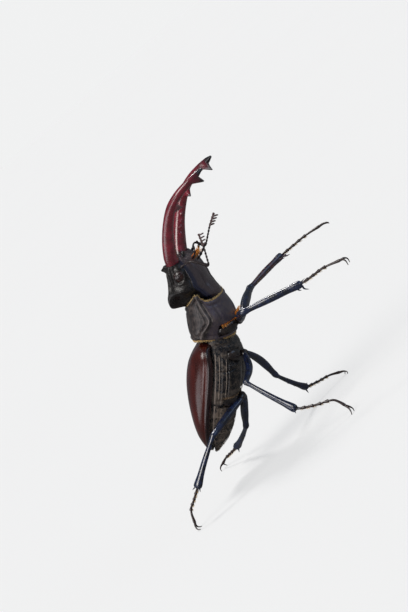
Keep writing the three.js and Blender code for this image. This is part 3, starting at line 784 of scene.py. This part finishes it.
def head_point(t, a):
    """The head capsule: a crest across the nape, with a keel from each end of it down to the eye."""
    f = mix(HEAD_BACK, HEAD_FRONT, t)
    close = rounded(t, 0.09 if t < 0.5 else 0.05)
    c, s = math.cos(a), math.sin(a)
    low = clamp(-s)
    over, under = (skull_top(f) - HEAD_SIDE) * close, (HEAD_SIDE - skull_low(f)) * close
    tucked = 1 - 0.25 * (1 - ease(f, 3.6, 6.4)) * (1 - ease(s, 0.15, 0.6))
    l, u = section(a, skull_half(f) * close * tucked, over, under, 3.2, 2.6)
    up = max(0, s) ** 0.6
    u += mix(crest_middle(f), crest_side(f), ease(abs(l), 3.2, 6.0)) * up * close
    u += 1.7 * hump(f, 12.6, 0.75) * hump(abs(l), 6.1, 1.3) * up
    keel = 0.38 * hump(s, 0.60, 0.10) * ease(f, 0.8, 2.2) * (1 - ease(f, 10.8, 12.2))
    gena = 0.40 * hump(s, -0.54, 0.06) - 0.35 * hump(s, -0.70, 0.08)
    gena *= ease(f, 2.0, 3.5) * (1 - ease(f, 12.2, 13.2))
    u += (keel + 0.6 * gena * s) * close
    # The shelf that runs back over the eye, the hollow that the eye sits in, and the swollen temple.
    shelf = 0.55 * hump(u + HEAD_SIDE, 4.3, 0.4) * ease(f, 8.0, 9.4) * (1 - ease(f, 12.4, 13.2))
    shelf += 0.35 * hump(u + HEAD_SIDE, 3.3, 0.3) * ease(f, 9.4, 10.6) * (1 - ease(f, 12.6, 13.2))
    from_eye = math.hypot((f - EYE[0]) / 1.9, (u + HEAD_SIDE - EYE[2]) / 1.6)
    hollow = 0.30 * hump(from_eye, 0.95, 0.22)
    temple = 0.35 * hump(f, 5.8, 2.0) * hump(u, 0.4, 1.8) - 0.22 * hump(f, 7.9, 0.4) * hump(u, 0.0, 1.9)
    l += math.copysign((shelf - hollow + temple + keel + gena) * abs(c) ** 0.7 * close, l)
    # Below: a groove on each side of the throat, which is flat in the middle.
    throat = 0.4 * hump(abs(l), 3.6, 0.5) * ease(low, 0.5, 0.8)
    throat -= 0.25 * hump(l, 0, 2.4) * ease(low, 0.6, 0.9)
    u += throat * close
    # The front: a collar round each jaw's root and a straight edge between them.
    from_jaw = math.hypot(abs(l) - JAW_ROOT[1], (u + HEAD_SIDE - JAW_ROOT[2]) * 1.2)
    collar = 0.5 * hump(from_jaw, 3.0, 0.55) * ease(f, 11.6, 12.8)
    lip = 0.5 * hump(l, 0, 1.9) * hump(u + HEAD_SIDE, 2.6, 1.4) * ease(f, 12.0, 13.2)
    return skull.at(f + collar + lip, l, HEAD_SIDE + u)


def build_head():
    # The mask for the painted pale highlight along the crest over the nape, the keels and the front.
    def rim(t, a):
        f = mix(HEAD_BACK, HEAD_FRONT, t)
        s = math.sin(a)
        keel = 0.30 * hump(s, 0.63, 0.05) * ease(f, 2.5, 4.0) * (1 - ease(f, 10.8, 12.2))
        return clamp((0.4 * hump(f, 2.0, 0.6) + 0.2 * hump(f, 11.6, 0.5)) * max(0, s) + keel)

    def lip(t, a):
        k = math.sin(PI * t)
        notch = 1 - 0.18 * hump(math.cos(PI * t), -1, 0.5)
        return skull.at(12.9 + 1.5 * math.sin(a) * k * 0.5 + 0.9 * k, 1.9 * math.cos(PI * t),
                        1.4 + 0.42 * math.cos(a) * k * notch)

    shell("head_shell", "head", "head_shell", "head", 220, 150, head_point, rim)
    shell("upper_lip", "head", "head_shell", "labrum", 32, 32, lip)


def build_eye(side, s):
    f, l, u = EYE
    long, wide, high = EYE_SIZE

    def place(t, a):
        r = math.sin(PI * t)
        return skull.at(f + long * math.cos(PI * t), s * l + wide * r * math.cos(a),
                        u + high * r * math.sin(a))

    shell(f"eye_ball_{side}", "eye", "eye", f"eye_{side}", 56, 40, place)


# ---------------------------------------------------------------- jaws
jaw_wide = through((0, 2.6), (0.10, 2.35), (0.3, 1.68), (0.55, 1.35), (0.8, 1.15), (0.93, 0.86),
                   (1, 0.30))
jaw_thick = through((0, 1.9), (0.15, 1.75), (0.35, 1.4), (0.6, 1.2), (0.93, 0.8), (1, 0.30))


def build_jaw(side, s):
    """A swept horn with small teeth along its inner edge, one long tooth and a forked end."""
    bm = new_mesh()
    path = [skull.at(f, s * l, u) for f, l, u in (
        (12.3, 5.1, 3.5), (15.2, 6.1, 3.1), (20, 7.5, 1.7), (24.3, 8.6, -0.2), (28.2, 9.3, -2.6),
        (30.8, 9.4, -5.4), (32.7, 8.8, -8.6), (33.9, 7.9, -11.0), (35.1, 6.7, -13.2))]

    def shape(t, a):
        ridge = 0.16 * hump(math.sin(a), 0.9, 0.3) * ease(t, 0.02, 0.12) * (1 - ease(t, 0.35, 0.7))
        groove = 0.14 * hump(math.cos(a), 0, 0.25) * hump(t, 0.08, 0.1)
        return ridge - groove

    verts = limb(bm, path, 56, 190, 0, jaw_wide, jaw_thick, skull.up, shape)
    run = route(path)
    inward = skull.way(0, -s, -0.55).normalized()

    def tooth(root, tip, radius, power):
        root, tip = (skull.at(f, s * l, u) for f, l, u in (root, tip))
        pull(verts, root, tip, radius, power)

    small = ((0.20, 0.30), (0.26, 0.42), (0.31, 0.36), (0.37, 0.48), (0.425, 0.34), (0.70, 0.34),
             (0.755, 0.42))
    for t, high in small:
        root = run(t) + inward * jaw_wide(t) * 0.96 * MM
        pull(verts, root, root + inward * high * MM, 0.55, 1.2)
    tooth((27.9, 8.35, -3.1), (26.6, 5.6, -4.7), 1.55, 1.5)
    tooth((33.3, 7.5, -10.4), (31.3, 6.1, -13.2), 1.5, 1.35)
    edge = bm.verts.layers.float["rim"]
    tips = [skull.at(f, s * l, u)
            for f, l, u in ((26.7, 5.7, -4.6), (31.2, 6.2, -13.3), (35.2, 6.6, -13.4))]
    reach = (1.8, 3.6, 3.8)
    for v in verts:
        near_tip = max(1 - (v.co - tip).length / (r * MM) for tip, r in zip(tips, reach))
        root = 1 - ease(v[bm.verts.layers.float["along"]], 0.09, 0.17)
        v[edge] = clamp(max(1.6 * near_tip, 0.75 * root))
    piece(bm, f"jaw_{side}", "jaw", "jaw", f"mandible_{side}")


# ---------------------------------------------------------------- feelers and mouth
FEELERS = {  # socket, bend and elbow of the stem, neck and tip of the club
    "right": ((12.3, -8.5, 1.0), (13.2, -9.6, -2.4), (10.7, -9.5, -6.7), (16.0, -9.4, -7.1),
              (19.4, -9.0, -6.9)),
    "left": ((12.3, 8.5, 1.0), (13.6, 10.4, 0.2), (11.9, 10.2, -2.4), (16.4, 10.6, -5.1),
             (19.7, 10.5, -7.6)),
}


def joints_along(bm, start, end, count, thin, thick):
    """A row of short segments, each one wider towards its far end."""
    for i in range(count):
        a, b = start.lerp(end, i / count), start.lerp(end, (i + 1.12) / count)
        limb(bm, [a, b], 20, 14, 0.22, lambda t: mix(thin, thick, ease(t, 0.1, 0.85)))


def build_feeler(side):
    socket, bend, elbow, neck, tip = (skull.at(*place) for place in FEELERS[side])
    scape = through((0, 0.34), (0.06, 0.42), (0.14, 0.26), (0.6, 0.30), (0.9, 0.46), (1, 0.42))
    bm = new_mesh()
    limb(bm, [socket, bend, elbow], 24, 60, 0.04, scape)
    piece(bm, f"feeler_stem_{side}", "feeler", "feeler", f"antenna_scape_{side}")
    bm = new_mesh()
    joints_along(bm, elbow, neck, 6, 0.18, 0.30)
    piece(bm, f"feeler_beads_{side}", "feeler", "feeler", f"antenna_funicle_{side}")
    bm = new_mesh()
    way = (tip - neck).normalized()
    leaf = skull.way(0, -1, -1.2).normalized()
    joints_along(bm, neck, tip, 4, 0.24, 0.36)
    for i in range(4):
        root = neck + way * (0.6 + 0.85 * i) * MM
        out = root + leaf * (1.55 + 0.15 * i) * MM + way * 0.4 * MM
        wide = through((0, 0.22), (0.35, 0.36), (0.8, 0.50), (1, 0.42))
        limb(bm, [root, root.lerp(out, 0.5) - way * 0.05 * MM, out], 24, 26, 0.2, wide,
             lambda t: 0.19, way)
    piece(bm, f"feeler_club_{side}", "club", "club", f"antenna_club_{side}")


def build_palps(side, s):
    for name, count, places in (
            ("maxillary", 3, ((12.3, 2.6, -1.1), (13.6, 3.0, -2.6), (15.6, 2.4, -2.6))),
            ("labial", 2, ((11.4, 1.0, -1.9), (12.3, 1.5, -3.2), (13.3, 1.8, -3.9)))):
        bm = new_mesh()
        run = route([skull.at(f, s * l, u) for f, l, u in places])
        for i in range(count):
            a, b = run(i / count), run(min(1, (i + 1.1) / count))
            limb(bm, [a, b], 18, 16, 0.25, lambda t: mix(0.17, 0.33, ease(t, 0.1, 0.7)))
        piece(bm, f"{name}_feeler_{side}", "feeler", "feeler", f"{name}_palp_{side}")


# ---------------------------------------------------------------- legs
COXAE = {  # the coxa's outer end, middle and inner end, its half-sizes, and where the thigh hangs
    "fore": (((2.5, 6.5, -3.2), (2.6, 4.4, -5.4), (3.0, 1.9, -7.7)), 1.50, 1.35, (3.5, 2.16, -8.8)),
    "mid": (((-1.6, 6.4, -4.7), (-2.1, 4.4, -6.1), (-2.7, 2.3, -7.6)), 1.70, 1.40, (-1.7, 2.8, -8.9)),
    "hind": (((-14.3, 7.7, -3.6), (-14.7, 4.5, -5.8), (-14.9, 0.9, -6.8)), 1.75, 1.30, (-14.1, 3.44, -8.4)),
}
# Knee, ankle, instep and toe from the root of the wing cases, the way the claws hook, teeth on the
# shin, how far the thigh's root has swung back and up with the coxa, and how far the thigh is bowed.
LEGS = {
    "fore_right": ((16.5, -15, 3.2), (33.1, -12.5, -0.7), (40.1, -13.2, -0.8), (45.2, -13.8, -1.9),
                   (0.25, 0, -1), (0.36, 0.5, 0.63, 0.75, 0.84), (0, 0, -0.3)),
    "fore_left": ((12.4, 15.3, 3.1), (21.4, 29, 3.2), (29.0, 31.2, 3.1), (34.2, 32.5, 2.5),
                  (0.7, 0.1, -0.35), (0.36, 0.5, 0.63, 0.75, 0.84), (0, 0, -0.3)),
    "mid_right": ((4.4, -14.5, -11.7), (12, -19.5, -24.9), (21.0, -18.7, -28.8), (22.6, -19.0, -31.9),
                  (0.1, -0.05, -1), (0.35, 0.55), (0.2, 0, 1.1)),
    "mid_left": ((3.3, 11, -19.4), (4, 22.6, -29.4), (9.6, 27.6, -31.4), (12.3, 29.2, -32.9),
                 (0.5, 0.3, -1), (0.35, 0.55), (1.7, 0.7, 0.8)),
    "hind_right": ((-12.8, -13.2, -18), (-23.5, -19.6, -25.6), (-28.4, -20.4, -29.0), (-29.9, -20.6, -32.4),
                   (0.3, 0, -1), (0.3, 0.48, 0.62), (0, 0, -0.2)),
    "hind_left": ((-12.3, 9.6, -25.4), (-22, 19.2, -30.2), (-28.4, 24.2, -31.7), (-31.2, 26.4, -32.9),
                  (-0.5, 0.4, -1), (0.3, 0.48, 0.62), (1.5, 0.7, 0.4)),
}
femur_wide = through((0, 0.62), (0.1, 0.88), (0.3, 1.14), (0.6, 1.14), (0.82, 0.90), (0.93, 0.93),
                     (1, 0.80))
tibia_wide = through((0, 0.62), (0.06, 0.66), (0.14, 0.52), (0.4, 0.62), (0.75, 0.76), (0.93, 0.98),
                     (1, 0.85))
SHIN_BREADTH = {  # how much broader than tibia_wide, along the shin
    "fore": through((0, 1.45), (0.5, 1.5), (0.8, 1.2), (1, 1.08)),
    "mid": through((0, 1.2), (1, 1.2)),
    "hind": through((0, 1.3), (1, 1.3)),
}


def off_line(a, b, way, bow):
    """The middle of a line, bowed out by some millimetres."""
    return a.lerp(b, 0.5) + way * bow * MM


class Leg:
    """The places of one leg, worked out from its joints."""

    def __init__(self, name):
        pair, side = name.split("_")
        s = -1 if side == "right" else 1
        knee, ankle, instep, toe, hook, self.teeth, (back, rise, bow) = LEGS[name]
        path, self.half, self.deep, (f, l, u) = COXAE[pair]
        where = fore if pair == "fore" else hind
        self.knee, self.ankle, self.instep, self.toe = (
            hind.origin + Vector(place) * MM for place in (knee, ankle, instep, toe))
        self.hip = where.at(f - back, s * l, u + rise)
        self.coxa = [where.at(cf - back * k / 2, s * cl, cu + rise * k / 2)
                     for k, (cf, cl, cu) in enumerate(path)]
        self.stout = 1.2 if pair == "fore" else 1.0
        self.breadth = SHIN_BREADTH[pair]
        self.thigh = (self.knee - self.hip).normalized()
        self.shin = (self.ankle - self.knee).normalized()
        self.outer = self.shin.cross(self.thigh).cross(self.shin).normalized()
        self.toe_way = (self.toe - self.instep).normalized()
        bend = (self.shin - self.thigh * self.shin.dot(self.thigh)).normalized()
        self.hook = Vector(hook)
        self.foot = route([self.ankle - self.shin * 0.4 * MM, self.ankle.lerp(self.instep, 0.5),
                           self.instep, self.toe])
        self.thigh_path = [self.hip + self.thigh * 0.4 * MM, off_line(self.hip, self.knee, bend, bow),
                           self.knee + self.thigh * 0.75 * MM]
        self.shin_path = [self.knee - self.shin * 0.55 * MM,
                          off_line(self.knee, self.ankle, self.outer, 0.25),
                          self.ankle - self.shin * 0.15 * MM]


def build_leg(name):
    leg = Leg(name)
    hip, knee, ankle, toe, stout = leg.hip, leg.knee, leg.ankle, leg.toe, leg.stout
    thigh, shin, outer, toe_way = leg.thigh, leg.shin, leg.outer, leg.toe_way

    bm = new_mesh()
    limb(bm, leg.coxa, 48, 60, 0.42, lambda t: leg.deep, lambda t: leg.half, hind.forward,
         lambda t, a: -0.06 * hump(t, 0.62, 0.02) + 0.04 * hump(t, 0.68, 0.04))
    root = hip - thigh * 0.9 * MM
    limb(bm, [leg.coxa[2], root.lerp(leg.coxa[2], 0.4), hip + thigh * 1.1 * MM], 32, 40, 0.3,
         lambda t: mix(1.0, 0.78, t) * stout)
    piece(bm, f"hip_{name}", "hip", "leg_shell", f"coxa_{name}")

    def flutes(t, a):
        return -0.07 * hump(abs(math.sin(a)), 0.25, 0.15) * ease(t, 0.1, 0.25) * (1 - ease(t, 0.8, 0.95))

    bm = new_mesh()
    limb(bm, leg.thigh_path, 40, 70, 0.05, lambda t: stout * femur_wide(t),
         lambda t: 0.82 * stout * femur_wide(t), outer, flutes)
    piece(bm, f"thigh_{name}", "leg", "leg_shell", f"femur_{name}")

    bm = new_mesh()
    limb(bm, leg.shin_path, 40, 90, 0.035, lambda t: leg.breadth(t) * tibia_wide(t),
         lambda t: 0.8 * leg.breadth(t) * tibia_wide(t), outer, flutes)
    for share in leg.teeth:
        horn(bm, knee.lerp(ankle, share) + outer * 0.35 * MM, outer * 0.85 + shin * 0.55, 0.34)
    for side, along, length in ((1, 1.5, 1.0), (-1, 1.35, 0.95)):
        foot_end = knee.lerp(ankle, 0.94) + outer * side * 0.5 * MM
        horn(bm, foot_end, outer * side * length + shin * along, 0.34)
    across = shin.cross(outer).normalized()
    horn(bm, ankle - (across * 0.3 + shin * 0.5) * MM, shin * 1.5 - across * 0.6, 0.2)
    if name.startswith("fore"):
        claw_way = (leg.hook - shin * leg.hook.dot(shin)).normalized()
        for back, reach in ((0.5, 1.7), (1.9, 1.1)):
            root = ankle + (claw_way * 0.5 - shin * back) * MM
            curve = [root, root + (claw_way * 0.6 + shin * 0.15) * reach * MM,
                     root + (claw_way + shin * 0.75) * reach * MM]
            limb(bm, curve, 16, 20, 0.1, lambda t: 0.36 * (1 - 0.85 * t))
    piece(bm, f"shin_{name}", "shin" if name == "fore_left" else "leg", "leg_shell", f"tibia_{name}")

    bm = new_mesh()
    path = leg.foot
    shares = (0, 0.17, 0.32, 0.47, 0.62, 1.0)
    for i, (a, b) in enumerate(zip(shares, shares[1:])):
        stops = [path(mix(a, min(1, b + 0.03), k / 3)) for k in range(4)]
        bead = through((0, 0.26), (0.2, 0.28), (0.6, 0.34), (0.88, 0.42 if i == 4 else 0.47), (1, 0.38))
        limb(bm, stops, 24, 30, 0.12, bead, None, outer)
    piece(bm, f"toes_{name}", "foot", "foot", f"tarsus_{name}")

    bm = new_mesh()
    down = leg.hook.normalized()
    spread = toe_way.cross(down).normalized()
    for k in (-1, 1):
        if name.startswith("fore"):
            end = toe_way * 0.55 + spread * k * 1.0 + down * 2.0
        else:
            end = spread * k * 1.35 + leg.hook * (toe.z / MM / abs(leg.hook.z))
        middle_way = toe_way * 1.25 + spread * k * 0.95 + down * 0.25
        curve = [toe - toe_way * 0.25 * MM, toe + (toe_way * 0.75 + spread * k * 0.5) * MM,
                 toe + middle_way.lerp(end, 0.25) * MM, toe + end * MM]
        limb(bm, curve, 20, 44, 0.04, lambda t: mix(0.36, 0.09, t ** 0.8))
    for k in (-1, 1):
        horn(bm, toe, toe_way * 0.9 + spread * k * 0.25 + down * 0.3, 0.07)
    piece(bm, f"hooks_{name}", "foot", "foot", f"claws_{name}")


def horn(bm, root, reach, radius):
    """A small pointed spine, its reach in millimetres."""
    limb(bm, [root, root + reach * MM], 12, 10, 0.12, lambda t: radius * (1 - 0.85 * t))


# ---------------------------------------------------------------- hairs
HAIR_RATIO = 12  # a hair's length over its width


def hair_template():
    """One hair: a three-sided cone of height 1 and width 1, cut across twice and bent forwards."""
    bm = new_mesh()
    bmesh.ops.create_cone(bm, cap_ends=True, segments=3, radius1=0.5, radius2=0.08, depth=1,
                          matrix=Matrix.Translation((0, 0, 0.5)))
    for cut in (0.35, 0.7):
        bmesh.ops.bisect_plane(bm, geom=bm.verts[:] + bm.edges[:] + bm.faces[:], plane_co=(0, 0, cut),
                               plane_no=(0, 0, 1))
    return bm


def build_hairs(name, paint, slot, hairs, *nodes):
    """Hairs joined into one piece: each a root, way, bend, length, width and place on the unwrap."""
    joined = new_mesh()
    joined.loops.layers.uv.new("OFBake")
    batch = 60
    for start in range(0, len(hairs), batch):
        bm = hair_template()
        patch = bm.loops.layers.uv.new("OFBake")
        along = bm.verts.layers.float["along"]
        for v in bm.verts:
            v[along] = v.co.z
        for face in bm.faces:
            for loop in face.loops:
                loop[patch].uv = (0.0012 * loop.vert.co.x, 0.003 * (loop.vert.co.z - 0.5))
        for v in bm.verts:
            v.co.x += 0.22 * HAIR_RATIO * v.co.z ** 2
        pattern = bm.verts[:] + bm.edges[:] + bm.faces[:]
        for root, way, bend, length, width, (x, y) in hairs[start:start + batch]:
            z = way.normalized()
            side = z.cross(bend).normalized()
            turn = Matrix((side.cross(z) * width, side * width, z * length)).transposed().to_4x4()
            copied = bmesh.ops.duplicate(bm, geom=pattern)["geom"]
            verts = [part for part in copied if isinstance(part, bmesh.types.BMVert)]
            stand = Matrix.Translation(root) @ turn @ Matrix.Scale(MM, 4)
            bmesh.ops.transform(bm, matrix=stand, verts=verts)
            for face in copied:
                if isinstance(face, bmesh.types.BMFace):
                    for loop in face.loops:
                        loop[patch].uv += Vector((x, y))
        bmesh.ops.delete(bm, geom=[part for part in pattern if isinstance(part, bmesh.types.BMVert)],
                         context="VERTS")
        share = bpy.data.meshes.new("share")
        bm.to_mesh(share)
        bm.free()
        joined.from_mesh(share)
        bpy.data.meshes.remove(share)
    piece(joined, name, paint, slot, *nodes)


def hair(root, way, bend, length, place, thick):
    """One hair, its length in millimetres, a little different from its neighbours."""
    length *= random.uniform(0.6, 1.15)
    stray = Vector([random.uniform(-0.14, 0.14) for _ in range(3)])
    return (root, way + stray, bend, length, length / HAIR_RATIO * thick, place)


def on_skin(point, x, y):
    """A skin's point and outward normal at (x, y), where point(x, y) gives the skin."""
    here = point(x, y)
    normal = (point(x, y + 0.02) - here).cross(point(x + 0.004, y) - here).normalized()
    return here, normal


def unwrapped(t, a):
    return (0.02 + 0.96 * ((a / FULL) % 1), 0.02 + 0.96 * clamp(t))


def build_fringes():
    """Golden fringes round both margins of the prothorax."""
    for name, at, way, length, count in (("front", 0.895, fore.forward, 0.72, 1100),
                                         ("rear", 0.115, -fore.forward, 0.9, 1100)):
        hairs = []
        for i in range(count):
            a = FULL * (i + random.random()) / count
            root = shield_point(at, a)
            inward = (fore.at(6.5, 0, SHIELD_AXIS) - root)
            inward = (inward - fore.forward * inward.dot(fore.forward)).normalized()
            root -= way * 0.15 * MM
            hairs.append(hair(root, way + inward * 0.10, inward, length, unwrapped(at, a), 1.1))
        build_hairs(f"fringe_{name}", "gold", "hair", hairs)


def build_body_hairs():
    """Short grey-gold hairs that lie back along the thorax and the belly."""
    for name, first, last, count, relief in (
            ("thorax", 3.6, -12.9, 3600, thorax_relief),
            ("abdomen", -16.4, -30.6, 3400, lambda f, a: 0.1)):
        hairs = []

        def point(f, a):
            return trunk_point(f, a, relief(f, a), 1)

        for _ in range(count):
            f = random.uniform(first, last)
            a = -PI * random.uniform(0.03, 0.97)
            root, normal = on_skin(point, f, a)
            if (root - hind.at(f, 0, trunk_edge(f))).dot(normal) < 0:
                normal.negate()
            way = -hind.forward + normal * 0.16
            hairs.append(hair(root - normal * 0.03 * MM, way, -normal, random.uniform(0.36, 0.6),
                              unwrapped((first - f) / (first - last), a), 0.95))
        build_hairs(f"down_{name}", "grey", "hair", hairs)
    hairs = []
    for _ in range(900):
        a = -PI * random.uniform(0.09, 0.91)
        f = -12.75 - random.uniform(0, 0.35)
        root = trunk_point(f, a, 0.0, 1)
        out = (root - hind.at(f, 0, trunk_edge(f))).normalized()
        sway = hind.left * random.uniform(-0.3, 0.3)
        hairs.append(hair(root, -hind.forward + out * 0.22 + sway, -out, random.uniform(0.35, 0.75),
                          unwrapped(0.9, a), 0.8))
    build_hairs("fringe_breast", "tan", "hair", hairs)


def build_mouth_brush():
    """The orange brush of the mouth, spread downwards from between the palps."""
    hairs = []
    for _ in range(170):
        spin, lean = random.uniform(0, FULL), 0.7 * random.random() ** 0.6
        x, y = 0.7 * lean * math.cos(spin), 0.7 * lean * math.sin(spin)
        root = skull.at(12.1 + y, x, -0.6)
        way = skull.way(0.38 + 0.3 * y, 0.45 * x, -1)
        hairs.append(hair(root, way, skull.forward, 3.0, (0.5 + 0.4 * x, 0.5 + 0.4 * y), 0.7))
    build_hairs("mouth_hairs", "orange", "hair", hairs, "mouth_brush")


def build_leg_hairs():
    """Orange tufts over the roots of the forelegs, golden bristles under the feet and along the shins."""
    tufts, bristles = [], []
    for i in range(560):
        share = random.random() ** 0.8
        x = mix(0.64, 1.40, share)
        a = -x if i % 2 else PI + x
        thick = ease(share, 0.75, 1.0)
        root = shield_point(0.395 + 0.015 * random.random(), a)
        out = (root - fore.at(4.2, 0, SHIELD_AXIS)).normalized()
        way = -fore.forward * (1 - 0.8 * thick) + out * (0.45 + 0.6 * thick)
        tufts.append(hair(root, way, -fore.forward, 1.0 + 0.5 * thick, unwrapped(0.39, a), 1.1))
    for i in range(160):
        side = -1 if i % 2 else 1
        root = fore.at(random.uniform(4.2, 4.9), side * random.uniform(0.2, 1.3), -7.2)
        way = fore.way(0.55, side * 0.35, -0.8)
        tufts.append(hair(root, way, fore.forward, 2.1, unwrapped(0.42, -PI / 2 + side * 0.1), 0.9))
    build_hairs("tufts_forelegs", "orange", "hair", tufts)
    for name in LEGS:
        leg = Leg(name)
        run = route(leg.shin_path)
        for _ in range(60):
            share = random.uniform(0.15, 0.93)
            deep = 0.8 * leg.breadth(share) * tibia_wide(share) - 0.08
            root = run(share) - leg.outer * deep * MM
            bristles.append(hair(root, leg.shin - leg.outer * 0.6, leg.shin, 0.5,
                                 unwrapped(share, 1.0), 0.8))
        for i in range(170):
            share = (i // 34 + random.uniform(0.45, 1.0)) / 5
            share *= 0.64 if share < 0.99 else 0.6
            way = (leg.foot(min(1, share + 0.02)) - leg.foot(share)).normalized()
            down = (leg.hook - way * leg.hook.dot(way)).normalized()
            across = way.cross(down) * random.uniform(-1.0, 1.0)
            root = leg.foot(share) + (down + across).normalized() * 0.26 * MM
            bristles.append(hair(root, way * 0.6 + down + across, way, 0.6, unwrapped(share, 3.0), 1.0))
    build_hairs("bristles_legs", "gold", "hair", bristles)


for side_name, sign in SIDES:
    build_wing_case(side_name, sign)
    build_eye(side_name, sign)
    build_jaw(side_name, sign)
    build_feeler(side_name)
    build_palps(side_name, sign)
build_plate()
build_thorax()
build_abdomen()
build_prothorax()
build_head()
for leg_name in LEGS:
    build_leg(leg_name)
build_fringes()
build_body_hairs()
build_mouth_brush()
build_leg_hairs()


# ---------------------------------------------------------------- stage
def build_floor():
    """A plain pale floor that runs out of sight, darker where the shells mirror it."""
    p = Paint("floor_pale")
    tone = p.mix(p.noise(0.004, 2.0), (0.295, 0.295, 0.295), (0.305, 0.305, 0.305))
    seen = p.node("ShaderNodeLightPath", output="Is Camera Ray")
    mirrored = p.node("ShaderNodeLightPath", output="Is Glossy Ray")
    tone = p.mix(mirrored, tone, (0.12, 0.12, 0.12))
    paper = p.node("ShaderNodeBsdfDiffuse", None, {"Color": tone}, "BSDF")
    glow = p.node("ShaderNodeEmission", None, {"Color": (1, 1, 1, 1), "Strength": 0.56}, "Emission")
    lit = p.node("ShaderNodeAddShader", None, {0: paper, 1: glow}, "Shader")
    p.node_output(p.node("ShaderNodeMixShader", None, {0: seen, 1: paper, 2: lit}, "Shader"))
    bm = bmesh.new()
    bmesh.ops.create_circle(bm, cap_ends=True, segments=64, radius=12.0)
    floor = placed(bm, "floor", p.material)


def plain_light(node, colour, strength):
    node.inputs["Color"].default_value = (*colour, 1)
    node.inputs["Strength"].default_value = strength
    return node.outputs[0]


def build_surround():
    """Pale to the camera, and a dim cool sky to everything else, dimmer still in reflections."""
    sky, backdrop = (0.80, 0.90, 1.0), (0.876, 0.881, 0.883)
    world = bpy.data.worlds.new("studio")
    world.use_nodes = True
    tree = world.node_tree
    path = tree.nodes.new("ShaderNodeLightPath")
    end = plain_light(tree.nodes["Background"], sky, 0.22)
    for ray, colour, strength in (("Is Glossy Ray", sky, 0.11), ("Is Camera Ray", backdrop, 1.0)):
        light = plain_light(tree.nodes.new("ShaderNodeBackground"), colour, strength)
        either = tree.nodes.new("ShaderNodeMixShader")
        for i, value in enumerate((path.outputs[ray], end, light)):
            tree.links.new(value, either.inputs[i])
        end = either.outputs[0]
    tree.links.new(end, tree.nodes["World Output"].inputs["Surface"])
    bpy.context.scene.world = world


def lamp(name, azimuth, elevation, softness, strength, colour):
    """A broad soft light from far off; azimuth, elevation and softness (its width) are in degrees."""
    a, e = math.radians(azimuth), math.radians(elevation)
    way = Vector((math.sin(a) * math.cos(e), -math.cos(a) * math.cos(e), math.sin(e)))
    data = bpy.data.lights.new(name, "SUN")
    data.angle = math.radians(softness)
    data.energy = strength
    data.color = colour
    made = bpy.data.objects.new(name, data)
    made.rotation_euler = way.to_track_quat("Z", "Y").to_euler()
    bpy.context.scene.collection.objects.link(made)


build_floor()
build_surround()
lamp("key", -15, 50, 34, 1.65, (1.0, 0.97, 0.93))
lamp("top", 172, 68, 14, 1.4, (1.0, 0.98, 0.96))
lamp("front", -27, 3, 30, 0.6, (1.0, 0.94, 0.95))
lamp("side", -62, 6, 34, 0.45, (0.96, 0.96, 1.0))
lamp("fill", 85, 10, 55, 0.6, (0.50, 0.70, 1.0))
bpy.context.scene.view_settings.view_transform = "Standard"
